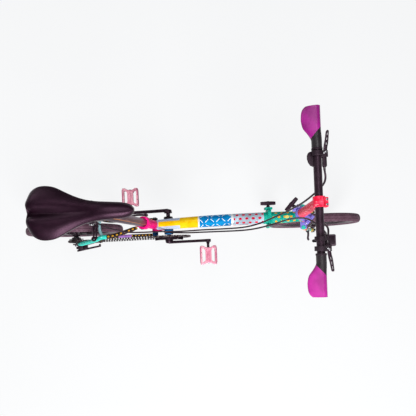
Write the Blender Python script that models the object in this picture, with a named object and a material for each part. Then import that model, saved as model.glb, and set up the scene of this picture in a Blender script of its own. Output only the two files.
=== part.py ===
"""A folding bicycle with 16-inch wheels, modelled piece by piece.

Metres. +X points forward, +Y to the rider's left, +Z up. The origin lies on the ground, midway
between the two axles.
"""

import math

import bmesh
import bpy
from mathutils import Matrix, Vector

# Driving dimensions

GAP = 0.0003
RUNNING = 0.0004

WHEELBASE = 1.065
TYRE_RADIUS = 0.206
TYRE_WIDTH = 0.036
WHEEL_STEPS = 40
RIM_SEAT_RADIUS = 0.172
RIM_WIDTH = 0.025
RIM_DEPTH = 0.020
RIM_WALL = 0.0015
SPOKE_RADIUS = 0.0011
SPOKES = 20
HUB_FLANGE_RADIUS = 0.018
AXLE_RADIUS = 0.005
FRONT_HUB_WIDTH = 0.069
REAR_HUB_WIDTH = 0.118
AXLE_NUT_RADIUS = 0.009
AXLE_NUT_WIDTH = 0.008

HEAD_ANGLE = math.radians(73.0)
HEAD_TOP = Vector((0.370, 0.0, 0.618))
HEAD_TUBE_LENGTH = 0.150
HEAD_TUBE_RADIUS = 0.0185
HEAD_CUP_RADIUS = 0.0225
HEAD_CUP_HEIGHT = 0.009
STEERER_RADIUS = 0.0127
STEERER_CLEARANCE = 0.003
CROWN_HEIGHT = 0.018
CROWN_DEPTH = 0.026
BLADE_SPREAD = 0.041
BLADE_RADIUS = 0.009
BLADE_FOOT_RADIUS = 0.0065
TIP_THICKNESS = 0.005
TIP_REACH = 0.0035
TIP_RADIUS = 0.013

BRACKET = Vector((-0.118, 0.0, 0.289))
BRACKET_WIDTH = 0.068
BRACKET_RADIUS = 0.0195
BRACKET_CUP_WIDTH = 0.004
CRANK_AXLE_RADIUS = 0.0085
CRANK_LENGTH = 0.170
CRANK_RISE = math.radians(16.0)
CRANK_FACE = 0.0596
LEFT_CRANK_FACE = 0.0530
CRANK_BOSS_RADIUS = 0.0175
CRANK_BOSS_WIDTH = 0.0145
CRANK_EYE_RADIUS = 0.0125
CRANK_ARM_THICKNESS = 0.012
CRANK_ARM_OFFSET = 0.006
SPINDLE_RADIUS = 0.0055
PEDAL_LENGTH = 0.069
PEDAL_WIDTH = 0.080
PEDAL_THICKNESS = 0.018
PEDAL_RAIL = 0.008
PEDAL_WAIST = 0.024
PEDAL_START = 0.0155

CHAIN_LINE = 0.0485
CHAIN_WIDTH = 0.009
CHAIN_HEIGHT = 0.008
CHAIN_PITCH = 0.0127
CHAINRING_TEETH = 44
CHAINRING_THICKNESS = 0.003
CHAINRING_INNER = 0.055
SPIDER_REACH = 0.062
SPROCKET_TEETH = 16
JOCKEY_TEETH = 10
JOCKEY_WIDTH = 0.007
CAGE_THICKNESS = 0.002

SEAT_ANGLE = math.radians(77.5)
SEAT_SETBACK = 0.037
SEAT_TUBE_RADIUS = 0.018
POST_RADIUS = 0.0159
POST_WALL = 0.002
POST_LENGTH = 0.520
POST_TOP = 0.902
SEAT_TUBE_LOW = 0.250
SEAT_TUBE_HIGH = 0.478
SEAT_CLAMP_HEIGHT = 0.032
SEAT_CLAMP_WALL = 0.006
SEAT_LEVER_LENGTH = 0.056

SADDLE_LENGTH = 0.279
SADDLE_REAR = -0.457
SADDLE_TOP = 0.974
SADDLE_HALF_WIDTH = 0.0725
SADDLE_SKIRT = 0.034
SADDLE_GROOVE = 0.010
RAIL_RADIUS = 0.0035
RAIL_SPREAD = 0.022
RAIL_REAR_RISE = 0.0147
RAIL_NOSE_RISE = 0.0185

MAIN_TUBE_RADIUS = 0.0225
MAIN_TUBE_REAR_RADIUS = 0.0205
MAIN_TUBE_WALL = 0.002
MAIN_TUBE_STEPS = 8
FRAME_TUBE_SIDES = 14
MAIN_TUBE_FOOT = Vector((-0.158, 0.0, 0.362))
MAIN_TUBE_BEND = Vector((0.041, 0.0, 0.476))
HINGE = Vector((0.275, 0.0, 0.489))
HINGE_PLATE = 0.006
HINGE_PLATE_LEFT = 0.031
HINGE_PLATE_HEIGHT = 0.058
HINGE_PIN_SIDE = -0.031
HINGE_PIN_RADIUS = 0.004
KNUCKLE_RADIUS = 0.0075
KNUCKLE_HEIGHT = 0.020
LEVER_BAR_LENGTH = 0.058
LEVER_BAR_WIDTH = 0.013
LEVER_REACH = 0.012
CLAMP_BLOCK_DEPTH = 0.009
CLAMP_BLOCK_WIDTH = 0.030
CLAMP_STUD_RADIUS = 0.003

REAR_PIVOT = Vector((-0.180, 0.0, 0.232))
PIVOT_PIN_RADIUS = 0.005
PIVOT_LUG_HALF = 0.0225
PIVOT_KNUCKLE_RADIUS = 0.0125
STAY_KNUCKLE_WIDTH = 0.0165
STAY_RADIUS = 0.0065
STAY_INNER_SPREAD = 0.034
DROPOUT_THICKNESS = 0.005
DROPOUT_RADIUS = 0.016
DROPOUT_NECK = 0.022
UPPER_STAY_RADIUS = 0.0062
BRIDGE = Vector((-0.386, 0.0, 0.398))
BRIDGE_RADIUS = 0.008
BRIDGE_SPREAD = 0.045
BLOCK_RADIUS = 0.019
BLOCK_LENGTH = 0.034
BLOCK_HEIGHT = 0.400

STEM_PIN_AZIMUTH = math.radians(45.0)
STEM_PIN_REACH = 0.034
STEM_BASE_RADIUS = 0.024
STEM_BASE_HEIGHT = 0.022
STEM_PLATE_HEIGHT = 0.009
STEM_PIN_RADIUS = 0.0035
STEM_KNUCKLE_RADIUS = 0.007
STEM_KNUCKLE_LENGTH = 0.015
STEM_TUBE_RADIUS = 0.016
STEM_TUBE_TOP_RADIUS = 0.0135
STEM_CLAMP_RADIUS = 0.0165
STEM_CLAMP_WIDTH = 0.029

BAR = Vector((0.316, 0.0, 0.972))
BAR_LENGTH = 0.509
BAR_RADIUS = 0.0111
BAR_STEPS = 16
GRIP_LENGTH = 0.117
GRIP_RADIUS = 0.0138
GRIP_END_RADIUS = 0.0124
GRIP_WING = 0.0265
LEVER_PIVOT_REACH = 0.0240
LEVER_PIVOT_DROP = 0.006
LEVER_THICKNESS = 0.007
PERCH_WIDTH = 0.013
LEFT_PERCH_INSET = 0.009
RIGHT_PERCH_INSET = 0.0127
LEFT_BARREL_REACH = 0.0345
RIGHT_BARREL_REACH = 0.0128
LEVER_LENGTH = 0.056
SHIFTER_INSET = 0.0208
SHIFTER_RING_INSET = 0.0268
SHIFTER_DROP = 0.0215
SHIFTER_HEIGHT = 0.014
CABLE_RADIUS = 0.0025
CABLE_STEP = 0.015

CALIPER_ARM = 0.007
CALIPER_PAD_DROP = 0.006
CALIPER_PAD_GAP = 0.002
CALIPER_PAD_THICKNESS = 0.009
CALIPER_STAND_OFF = 0.0145

# Values worked out from the driving dimensions

GRIP_INNER_Y = BAR_LENGTH / 2 - GRIP_LENGTH
LEFT_PERCH_Y = GRIP_INNER_Y - LEFT_PERCH_INSET
RIGHT_PERCH_Y = RIGHT_PERCH_INSET - GRIP_INNER_Y
LEFT_PERCH_BODY = LEFT_PERCH_Y - LEFT_BARREL_REACH
RIGHT_PERCH_BODY = RIGHT_PERCH_Y + RIGHT_BARREL_REACH
SHIFTER_Y = RIGHT_PERCH_Y + SHIFTER_INSET
SHIFTER_RING_Y = RIGHT_PERCH_Y + SHIFTER_RING_INSET
CALIPER_PAD_RADIUS = RIM_SEAT_RADIUS - CALIPER_PAD_DROP
TYRE_HEIGHT = TYRE_RADIUS - RIM_SEAT_RADIUS
RIM_HOOK_RADIUS = RIM_SEAT_RADIUS + TYRE_HEIGHT * 3 / 17
HUB_HEIGHT = TYRE_RADIUS * math.cos(math.pi / WHEEL_STEPS)
FRONT_HUB = Vector((WHEELBASE / 2, 0.0, HUB_HEIGHT))
REAR_HUB = Vector((-WHEELBASE / 2, 0.0, HUB_HEIGHT))
LEFT = Vector((0.0, 1.0, 0.0))
UP = Vector((0.0, 0.0, 1.0))
FORWARD = Vector((1.0, 0.0, 0.0))
STEER_UP = Vector((-math.cos(HEAD_ANGLE), 0.0, math.sin(HEAD_ANGLE)))
STEER_FORWARD = Vector((math.sin(HEAD_ANGLE), 0.0, math.cos(HEAD_ANGLE)))
SEAT_UP = Vector((-math.cos(SEAT_ANGLE), 0.0, math.sin(SEAT_ANGLE)))
SEAT_BACK = Vector((-math.sin(SEAT_ANGLE), 0.0, -math.cos(SEAT_ANGLE)))
SEAT_POINT = BRACKET - FORWARD * SEAT_SETBACK
HINGE_PIN = Vector((HINGE.x, HINGE_PIN_SIDE, HINGE.z))
CROWN = HEAD_TOP - STEER_UP * (HEAD_TUBE_LENGTH + CROWN_HEIGHT / 2 + 2 * GAP)
STEM_PLANE = HEAD_TOP + STEER_UP * (STEM_BASE_HEIGHT + GAP)
STEM_PIN_AXIS = Vector((math.cos(STEM_PIN_AZIMUTH), math.sin(STEM_PIN_AZIMUTH), 0.0))
STEM_PIN_AXIS = (STEM_PIN_AXIS - STEER_UP * STEM_PIN_AXIS.dot(STEER_UP)).normalized()
STEM_OUT = STEM_PIN_AXIS.cross(STEER_UP)
STEM_PIN = STEM_PLANE + STEM_OUT * STEM_PIN_REACH
UPPER_STAY_DIRECTION = (BRIDGE - REAR_HUB).normalized()
CRANK_FORWARD = Vector((math.cos(CRANK_RISE), 0.0, math.sin(CRANK_RISE)))
CHAIN_CLEARANCE = CHAIN_HEIGHT / 2 + GAP
PEDAL_INNER = CRANK_FACE + CRANK_ARM_OFFSET + CRANK_ARM_THICKNESS + PEDAL_START

COLOURS = {
    "frame_white": (0.86, 0.87, 0.90, 0.0, 0.35),
    "frame_pink": (0.90, 0.02, 0.38, 0.0, 0.35),
    "frame_blue": (0.02, 0.18, 0.42, 0.0, 0.35),
    "frame_green": (0.02, 0.42, 0.30, 0.0, 0.35),
    "frame_turquoise": (0.08, 0.70, 0.62, 0.0, 0.35),
    "frame_dark": (0.03, 0.03, 0.03, 0.0, 0.40),
    "stem_red": (0.80, 0.04, 0.08, 0.0, 0.35),
    "stem_lavender": (0.30, 0.25, 0.70, 0.0, 0.35),
    "grip_purple": (0.50, 0.01, 0.36, 0.0, 0.60),
    "pedal_pink": (0.80, 0.30, 0.38, 0.0, 0.45),
    "black_metal": (0.02, 0.02, 0.02, 0.6, 0.35),
    "black_plastic": (0.015, 0.015, 0.015, 0.0, 0.50),
    "rubber": (0.02, 0.02, 0.02, 0.0, 0.80),
    "steel": (0.55, 0.55, 0.56, 1.0, 0.30),
    "saddle_black": (0.015, 0.013, 0.015, 0.0, 0.50),
}

BODIES = {}


# Building blocks


def start_clean():
    """Removes every object that the file opens with."""
    for obj in list(bpy.data.objects):
        bpy.data.objects.remove(obj)


def skin(name, rings, closed=False):
    """Joins rings of points, each to the next, into one closed surface."""
    bm = bmesh.new()
    loops = [[bm.verts.new(point) for point in ring] for ring in rings]
    pairs = list(zip(loops, loops[1:]))
    if closed:
        pairs.append((loops[-1], loops[0]))
    else:
        bm.faces.new(loops[0])
        bm.faces.new(loops[-1])
    count = len(loops[0])
    for low, high in pairs:
        for i in range(count):
            j = (i + 1) % count
            bm.faces.new((low[i], low[j], high[j], high[i]))
    bmesh.ops.recalc_face_normals(bm, faces=bm.faces)
    mesh = bpy.data.meshes.new(name)
    bm.to_mesh(mesh)
    bm.free()
    obj = bpy.data.objects.new(name, mesh)
    bpy.context.collection.objects.link(obj)
    return obj


def side_of(axis):
    """A direction square to an axis, along Y where the axis allows it."""
    start = LEFT if abs(axis.dot(LEFT)) < 0.9 else FORWARD
    return (start - axis * start.dot(axis)).normalized()


def circle(centre, axis, radius, steps, turn=0.0, squash=1.0):
    """Points of a ring round an axis. squash narrows it across the side direction."""
    side = side_of(axis)
    other = axis.cross(side)
    points = []
    for i in range(steps):
        angle = turn + 2 * math.pi * i / steps
        points.append(
            centre + side * (radius * math.cos(angle)) + other * (radius * squash * math.sin(angle))
        )
    return points


def turned(name, origin, axis, profile, steps, closed=False, turn=0.0):
    """Turns a profile of (height, radius) pairs about an axis. A closed one has a bore."""
    axis = axis.normalized()
    rings = [circle(origin + axis * height, axis, radius, steps, turn) for height, radius in profile]
    return skin(name, rings, closed)


def rod(name, start, end, radius, steps=12, end_radius=None):
    """A round bar from one point to another."""
    axis = end - start
    last = radius if end_radius is None else end_radius
    return turned(name, start, axis, [(0.0, radius), (axis.length, last)], steps)


def pipe(name, start, end, radius, bore, steps=16):
    """A round tube with an open bore."""
    length = (end - start).length
    profile = [(0.0, radius), (length, radius), (length, bore), (0.0, bore)]
    return turned(name, start, end - start, profile, steps, closed=True)


def path_rings(points, radii, steps, squash=1.0):
    """Rings square to a path that lies nearly in one plane."""
    rings = []
    for i, point in enumerate(points):
        before = points[max(i - 1, 0)]
        after = points[min(i + 1, len(points) - 1)]
        rings.append(circle(point, (after - before).normalized(), radii[i], steps, squash=squash))
    return rings


def bent_rod(name, points, radii, steps=10, squash=1.0):
    """A solid bar along a path, with a radius at each point."""
    return skin(name, path_rings(points, radii, steps, squash))


def bent_pipe(name, points, radii, wall, steps=16):
    """A tube along a path, open at both ends."""
    outer = path_rings(points, radii, steps)
    inner = path_rings(points, [radius - wall for radius in radii], steps)
    return skin(name, outer + inner[::-1], closed=True)


def plate(name, outline, origin, across, along, thickness):
    """A flat plate whose outline is drawn in two directions, thick equally to both sides."""
    across = across.normalized()
    along = along.normalized()
    normal = across.cross(along)
    rings = []
    for side in (-thickness / 2, thickness / 2):
        rings.append([origin + across * u + along * v + normal * side for u, v in outline])
    return skin(name, rings)


def block(name, centre, size, across=FORWARD, along=LEFT):
    """A box with its first two sizes along the two directions."""
    width, depth, height = size
    outline = [
        (-width / 2, -depth / 2), (width / 2, -depth / 2), (width / 2, depth / 2),
        (-width / 2, depth / 2),
    ]
    return plate(name, outline, centre, across, along, height)


def merge(name, solids, cuts=()):
    """Unites overlapping solids, takes the cuts away and keeps the result as one object."""
    base = solids[0]
    helpers = [(solid, "UNION") for solid in solids[1:]] + [(cut, "DIFFERENCE") for cut in cuts]
    for helper, operation in helpers:
        modifier = base.modifiers.new(operation.lower(), "BOOLEAN")
        modifier.operation = operation
        modifier.solver = "EXACT"
        modifier.object = helper
    bpy.context.view_layer.update()
    result = bpy.data.meshes.new_from_object(base.evaluated_get(bpy.context.evaluated_depsgraph_get()))
    for obj in [base] + [helper for helper, _ in helpers]:
        bpy.data.objects.remove(obj)
    merged = bpy.data.objects.new(name, result)
    bpy.context.collection.objects.link(merged)
    return merged


def bezier(start, bend, end, count):
    """Points of a curve that leaves the start towards the bend and reaches the end from it."""
    points = []
    for i in range(count):
        t = i / (count - 1)
        points.append(start * (1 - t) ** 2 + bend * (2 * t * (1 - t)) + end * t**2)
    return points


def smooth_path(knots, spacing):
    """Points along a smooth curve through the knots, about one spacing apart."""
    ends = [knots[0] * 2 - knots[1]] + list(knots) + [knots[-1] * 2 - knots[-2]]
    points = [knots[0]]
    for before, start, end, after in zip(ends, ends[1:], ends[2:], ends[3:]):
        steps = max(1, round((end - start).length / spacing))
        for i in range(1, steps + 1):
            t = i / steps
            points.append(
                (start * 2 + (end - before) * t
                 + (before * 2 - start * 5 + end * 4 - after) * t**2
                 + (start * 3 - before - end * 3 + after) * t**3) * 0.5
            )
    return points


def material(slot):
    """The Principled material of a colour slot, made once."""
    found = bpy.data.materials.get(slot)
    if found:
        return found
    red, green, blue, metallic, roughness = COLOURS[slot]
    made = bpy.data.materials.new(slot)
    made.use_nodes = True
    shader = made.node_tree.nodes["Principled BSDF"]
    shader.inputs["Base Color"].default_value = (red, green, blue, 1.0)
    shader.inputs["Metallic"].default_value = metallic
    shader.inputs["Roughness"].default_value = roughness
    return made


def body(name, parent=None, origin=None):
    """An empty that carries the pieces of one moving body, on its joint's axis."""
    empty = bpy.data.objects.new(name + "_axis", None)
    bpy.context.collection.objects.link(empty)
    place = origin if origin is not None else Vector((0.0, 0.0, 0.0))
    if parent:
        empty.parent = BODIES[parent][0]
        empty.location = place - BODIES[parent][1]
    else:
        empty.location = place
    BODIES[name] = (empty, place)


def keep(obj, name, slot, carrier, smooth=35.0):
    """Names a finished piece, colours it, shades it and hangs it on its body."""
    empty, origin = BODIES[carrier]
    obj.name = name
    obj.data.name = name
    obj.data.transform(Matrix.Translation(-origin))
    obj.parent = empty
    obj.data.materials.clear()
    obj.data.materials.append(material(slot))
    obj.data.shade_smooth()
    obj.data.set_sharp_from_angle(angle=math.radians(smooth))
    return obj


def pitch_radius(teeth):
    """The radius on which a chain's rollers lie."""
    return CHAIN_PITCH / (2 * math.sin(math.pi / teeth))


def seat_axis(height):
    """The point of the seat tube's axis at a height above the ground."""
    return SEAT_POINT + SEAT_UP * ((height - SEAT_POINT.z) / SEAT_UP.z)


def at_side(point, offset):
    """The same point, moved to a distance left of the middle plane."""
    return Vector((point.x, offset, point.z))


# Where the joints lie

RIGHT_EYE = at_side(BRACKET + CRANK_FORWARD * CRANK_LENGTH, -CRANK_FACE)
LEFT_EYE = at_side(BRACKET - CRANK_FORWARD * CRANK_LENGTH, LEFT_CRANK_FACE)
GUIDE_JOCKEY = REAR_HUB + Vector((0.0275, 0.0, -0.0560))
TENSION_JOCKEY = REAR_HUB + Vector((0.0895, 0.0, -0.0720))
SEAT_LEVER_PIVOT = seat_axis(SEAT_TUBE_HIGH + 0.004) + LEFT * (
    SEAT_TUBE_RADIUS + 0.0118
) + FORWARD * 0.006
FRONT_CALIPER = CROWN + STEER_FORWARD * CALIPER_STAND_OFF
REAR_CALIPER_OUT = UPPER_STAY_DIRECTION.cross(LEFT)
REAR_CALIPER = BRIDGE + REAR_CALIPER_OUT * (BRIDGE_RADIUS + 0.002)
LEVER_PIVOTS = {
    "left": BAR + Vector((LEVER_PIVOT_REACH, LEFT_PERCH_Y + 0.004, -LEVER_PIVOT_DROP)),
    "right": BAR + Vector((LEVER_PIVOT_REACH, RIGHT_PERCH_Y - 0.004, -LEVER_PIVOT_DROP)),
}
SHIFT_PIVOT = BAR + Vector((0.024, SHIFTER_Y, -SHIFTER_DROP - SHIFTER_HEIGHT / 2 - GAP - 0.0025))


def make_bodies():
    """One empty for each body, parented as the joints hang from each other."""
    body("main_frame")
    body("hinge_clamp", "main_frame", HINGE + LEFT * HINGE_PLATE_LEFT)
    body("hinge_lever", "hinge_clamp", HINGE + LEFT * HINGE_PLATE_LEFT)
    body("seat_lever", "main_frame", SEAT_LEVER_PIVOT)
    body("seat_post", "main_frame", seat_axis(SEAT_TUBE_HIGH))
    body("cranks", "main_frame", BRACKET)
    body("pedal_right", "cranks", RIGHT_EYE)
    body("pedal_left", "cranks", LEFT_EYE)
    body("rear_frame", "main_frame", REAR_PIVOT)
    body("rear_wheel", "rear_frame", REAR_HUB)
    body("sprockets", "rear_frame", REAR_HUB)
    body("derailleur", "rear_frame", GUIDE_JOCKEY)
    body("cage", "derailleur", GUIDE_JOCKEY)
    body("jockey_upper", "cage", GUIDE_JOCKEY)
    body("jockey_lower", "cage", TENSION_JOCKEY)
    body("rear_caliper_left", "rear_frame", REAR_CALIPER)
    body("rear_caliper_right", "rear_frame", REAR_CALIPER)
    body("front_frame", "main_frame", HINGE_PIN)
    body("fork", "front_frame", HEAD_TOP)
    body("front_wheel", "fork", FRONT_HUB)
    body("front_caliper_left", "fork", FRONT_CALIPER)
    body("front_caliper_right", "fork", FRONT_CALIPER)
    body("stem_clamp", "fork", STEM_PLANE)
    body("stem_lever", "stem_clamp", STEM_PLANE)
    body("handlepost", "fork", STEM_PIN)
    body("brake_lever_left", "handlepost", LEVER_PIVOTS["left"])
    body("brake_lever_right", "handlepost", LEVER_PIVOTS["right"])
    body("shift_lever", "handlepost", SHIFT_PIVOT)


# Wheels


def make_wheel(end, hub, hub_width, carrier):
    """Tyre, rim and spoked hub of one wheel. The tread stands on a flat facet."""
    half = TYRE_WIDTH / 2
    neck = RIM_WIDTH / 2 - RIM_WALL - GAP
    seat = RIM_SEAT_RADIUS + GAP
    flange = RIM_HOOK_RADIUS
    half_step = math.pi / WHEEL_STEPS
    right_half = [
        (neck, seat), (neck, flange), (half, RIM_SEAT_RADIUS + TYRE_HEIGHT / 2),
        (half * 0.78, TYRE_RADIUS - TYRE_HEIGHT * 5 / 34), (half * 0.25, TYRE_RADIUS),
    ]
    tyre_profile = right_half + [(-y, radius) for y, radius in reversed(right_half)]
    keep(
        turned("t", hub, LEFT, tyre_profile, WHEEL_STEPS, True, half_step), end + "_tyre", "rubber",
        carrier,
    )

    edge = RIM_WIDTH / 2
    inner = RIM_SEAT_RADIUS - RIM_DEPTH
    well = inner + 2.5 * RIM_WALL
    rim_profile = [
        (edge * 0.75 - 1.6 * RIM_WALL, well), (edge - RIM_WALL, RIM_SEAT_RADIUS - 0.004),
        (edge - RIM_WALL, flange), (edge, flange), (edge, RIM_SEAT_RADIUS - 0.006), (edge * 0.75, inner),
    ]
    rim_profile += [(-y, radius) for y, radius in reversed(rim_profile)]
    keep(
        turned("r", hub, LEFT, rim_profile, WHEEL_STEPS, True, half_step), end + "_rim", "black_metal",
        carrier,
    )

    bore = AXLE_RADIUS + RUNNING
    face = hub_width / 2 - TIP_THICKNESS / 2 - GAP
    flange_at = 0.021
    shell = 0.010
    profile = [
        (-face, 0.008), (-flange_at - 0.003, shell), (-flange_at - 0.0015, HUB_FLANGE_RADIUS),
        (-flange_at + 0.0015, HUB_FLANGE_RADIUS), (-flange_at + 0.003, shell), (flange_at - 0.003, shell),
        (flange_at - 0.0015, HUB_FLANGE_RADIUS), (flange_at + 0.0015, HUB_FLANGE_RADIUS),
        (flange_at + 0.003, shell), (face, 0.008), (face, bore), (-face, bore),
    ]
    solids = [turned("h", hub, LEFT, profile, 14, closed=True)]
    spoke_end = inner * math.cos(half_step) - GAP
    for i in range(SPOKES):
        angle = 2 * math.pi * (i + 0.5) / SPOKES
        out = FORWARD * math.cos(angle) + UP * math.sin(angle)
        side = LEFT * (flange_at if i % 2 else -flange_at)
        rim_side = LEFT * (0.003 if i % 2 else -0.003)
        start = hub + out * (HUB_FLANGE_RADIUS - 0.004) + side
        solids.append(rod("s", start, hub + out * spoke_end + rim_side, SPOKE_RADIUS, 4))
    keep(merge("h", solids), end + "_hub", "black_metal", carrier)


def make_axle(name, hub, outer_face, carrier):
    """A wheel axle with a nut outside each frame end."""
    half = outer_face + GAP + AXLE_NUT_WIDTH
    nut = outer_face + GAP
    profile = [
        (-half, AXLE_NUT_RADIUS), (-nut, AXLE_NUT_RADIUS), (-nut, AXLE_RADIUS),
        (nut, AXLE_RADIUS), (nut, AXLE_NUT_RADIUS), (half, AXLE_NUT_RADIUS),
    ]
    keep(turned(name, hub, LEFT, profile, 12), name, "steel", carrier)


# Main frame


def make_seat_tube():
    """Seat tube with the lug for the rear frame's pivot behind its foot."""
    low = seat_axis(SEAT_TUBE_LOW)
    high = seat_axis(SEAT_TUBE_HIGH)
    tube = rod("tube", low, high, SEAT_TUBE_RADIUS, 24)
    lug_root = seat_axis(REAR_PIVOT.z + 0.030)
    lug = plate(
        "lug",
        [
            (lug_root.x, 0.290), (lug_root.x, 0.254),
            (REAR_PIVOT.x + 0.004, REAR_PIVOT.z - PIVOT_KNUCKLE_RADIUS),
            (REAR_PIVOT.x - PIVOT_KNUCKLE_RADIUS, REAR_PIVOT.z - 0.004),
            (REAR_PIVOT.x - PIVOT_KNUCKLE_RADIUS, REAR_PIVOT.z + 0.006),
        ],
        Vector((0.0, 0.0, 0.0)), FORWARD, UP, 2 * PIVOT_LUG_HALF,
    )
    bore = rod("bore", low - SEAT_UP * 0.05, high + SEAT_UP * 0.05, POST_RADIUS + RUNNING, 24)
    hole = rod("hole", REAR_PIVOT - LEFT * 0.05, REAR_PIVOT + LEFT * 0.05, PIVOT_PIN_RADIUS + GAP, 12)
    shell = bracket_solid("shell", BRACKET_RADIUS + GAP)
    keep(merge("seat_tube", [tube, lug], [bore, hole, shell]), "seat_tube", "frame_pink", "main_frame")

    ends = LEFT * (PIVOT_LUG_HALF + STAY_KNUCKLE_WIDTH + 0.003)
    pin = rod("pin", REAR_PIVOT - ends, REAR_PIVOT + ends, PIVOT_PIN_RADIUS, 12)
    keep(pin, "rear_pivot_pin", "steel", "main_frame")

    clamp_low = seat_axis(SEAT_TUBE_HIGH) + SEAT_UP * GAP
    clamp_high = clamp_low + SEAT_UP * SEAT_CLAMP_HEIGHT
    ring = rod("ring", clamp_low, clamp_high, SEAT_TUBE_RADIUS + SEAT_CLAMP_WALL, 24)
    middle = (clamp_low + clamp_high) / 2
    ear = block(
        "ear", middle + LEFT * 0.014 + SEAT_BACK * 0.020, (0.018, 0.014, SEAT_CLAMP_HEIGHT - 0.008),
        SEAT_BACK, LEFT,
    )
    ear_right = block(
        "ear", middle - LEFT * 0.005 + SEAT_BACK * 0.024, (0.016, 0.012, SEAT_CLAMP_HEIGHT - 0.008),
        SEAT_BACK, LEFT,
    )
    bore = rod("bore", clamp_low - SEAT_UP * 0.05, clamp_high + SEAT_UP * 0.05, POST_RADIUS + RUNNING, 24)
    keep(merge("clamp", [ring, ear, ear_right], [bore]), "seat_clamp", "frame_pink", "main_frame")


def bracket_solid(name, radius):
    """The plain cylinder of the bottom bracket, with its cups."""
    half = LEFT * (BRACKET_WIDTH / 2 + BRACKET_CUP_WIDTH)
    return rod(name, BRACKET - half, BRACKET + half, radius, 18)


def make_bracket():
    """Bottom bracket shell with its bearing cups, and the crank axle's bore."""
    half = BRACKET_WIDTH / 2
    end = half + BRACKET_CUP_WIDTH
    bore = CRANK_AXLE_RADIUS + RUNNING
    profile = [
        (-end, BRACKET_RADIUS - 0.002), (-half, BRACKET_RADIUS), (half, BRACKET_RADIUS),
        (end, BRACKET_RADIUS - 0.002), (end, bore), (half - 0.012, bore), (half - 0.012, 0.0150),
        (-half + 0.012, 0.0150), (-half + 0.012, bore), (-end, bore),
    ]
    shell = turned("shell", BRACKET, LEFT, profile, 18, closed=True)
    keep(shell, "bottom_bracket", "frame_blue", "main_frame")


def hinge_outline():
    """Outline of a hinge plate across the tube: left of the middle, then up."""
    half = HINGE_PLATE_HEIGHT / 2
    right = HINGE_PIN_SIDE + KNUCKLE_RADIUS + 0.002
    return [
        (right, -half * 0.62), (right + 0.008, -half), (0.020, -half), (HINGE_PLATE_LEFT, -half * 0.55),
        (HINGE_PLATE_LEFT, half * 0.55), (0.020, half), (right + 0.008, half), (right, half * 0.62),
    ]


def hinge_half(facing, knuckles):
    """Plate and knuckles of one half of the frame hinge. facing is -1 behind the joint, 1 before it."""
    middle = HINGE + FORWARD * (facing * (GAP / 2 + HINGE_PLATE / 2))
    solids = [plate("plate", hinge_outline(), middle, LEFT, UP, HINGE_PLATE)]
    for low, high in knuckles:
        solids.append(rod("knuckle", HINGE_PIN + UP * low, HINGE_PIN + UP * high, KNUCKLE_RADIUS, 14))
        web = HINGE_PIN + UP * ((low + high) / 2) + LEFT * 0.0075 + FORWARD * (
            facing * (GAP / 2 + HINGE_PLATE / 2)
        )
        solids.append(block("web", web, (HINGE_PLATE, 0.013, high - low)))
    return solids


def pin_hole():
    """Cutter for the frame hinge's pin."""
    return rod("hole", HINGE_PIN - UP * 0.05, HINGE_PIN + UP * 0.05, HINGE_PIN_RADIUS + GAP, 12)


def make_main_tube():
    """The curved main tube behind the hinge, with the hinge's rear half at its front end."""
    points = bezier(
        MAIN_TUBE_FOOT, MAIN_TUBE_BEND, HINGE - FORWARD * (GAP + HINGE_PLATE / 2), MAIN_TUBE_STEPS,
    )
    radii = []
    for point in points:
        share = min(1.0, (point.x - MAIN_TUBE_FOOT.x) / 0.20)
        radii.append(MAIN_TUBE_REAR_RADIUS + (MAIN_TUBE_RADIUS - MAIN_TUBE_REAR_RADIUS) * share)
    tube = bent_rod("tube", points, radii, FRAME_TUBE_SIDES)
    half = KNUCKLE_HEIGHT / 2 - GAP
    solids = [tube] + hinge_half(-1, [(-half, half)])
    deeper = MAIN_TUBE_FOOT - (MAIN_TUBE_BEND - MAIN_TUBE_FOOT).normalized() * 0.024
    inner_points = bezier(deeper, MAIN_TUBE_BEND, HINGE + FORWARD * 0.02, MAIN_TUBE_STEPS)
    inner = bent_rod(
        "inner", inner_points, [radius - MAIN_TUBE_WALL for radius in radii], FRAME_TUBE_SIDES
    )
    seat = rod("seat", seat_axis(0.20), seat_axis(0.55), SEAT_TUBE_RADIUS + GAP, 24)
    cuts = [inner, seat, pin_hole(), bracket_solid("shell", BRACKET_RADIUS + GAP)]
    keep(merge("main_tube", solids, cuts), "main_tube", "frame_white", "main_frame")

    ends = UP * (1.5 * KNUCKLE_HEIGHT - 0.002)
    pin = rod("pin", HINGE_PIN - ends, HINGE_PIN + ends, HINGE_PIN_RADIUS, 12)
    keep(pin, "hinge_pin", "steel", "main_frame")


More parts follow.
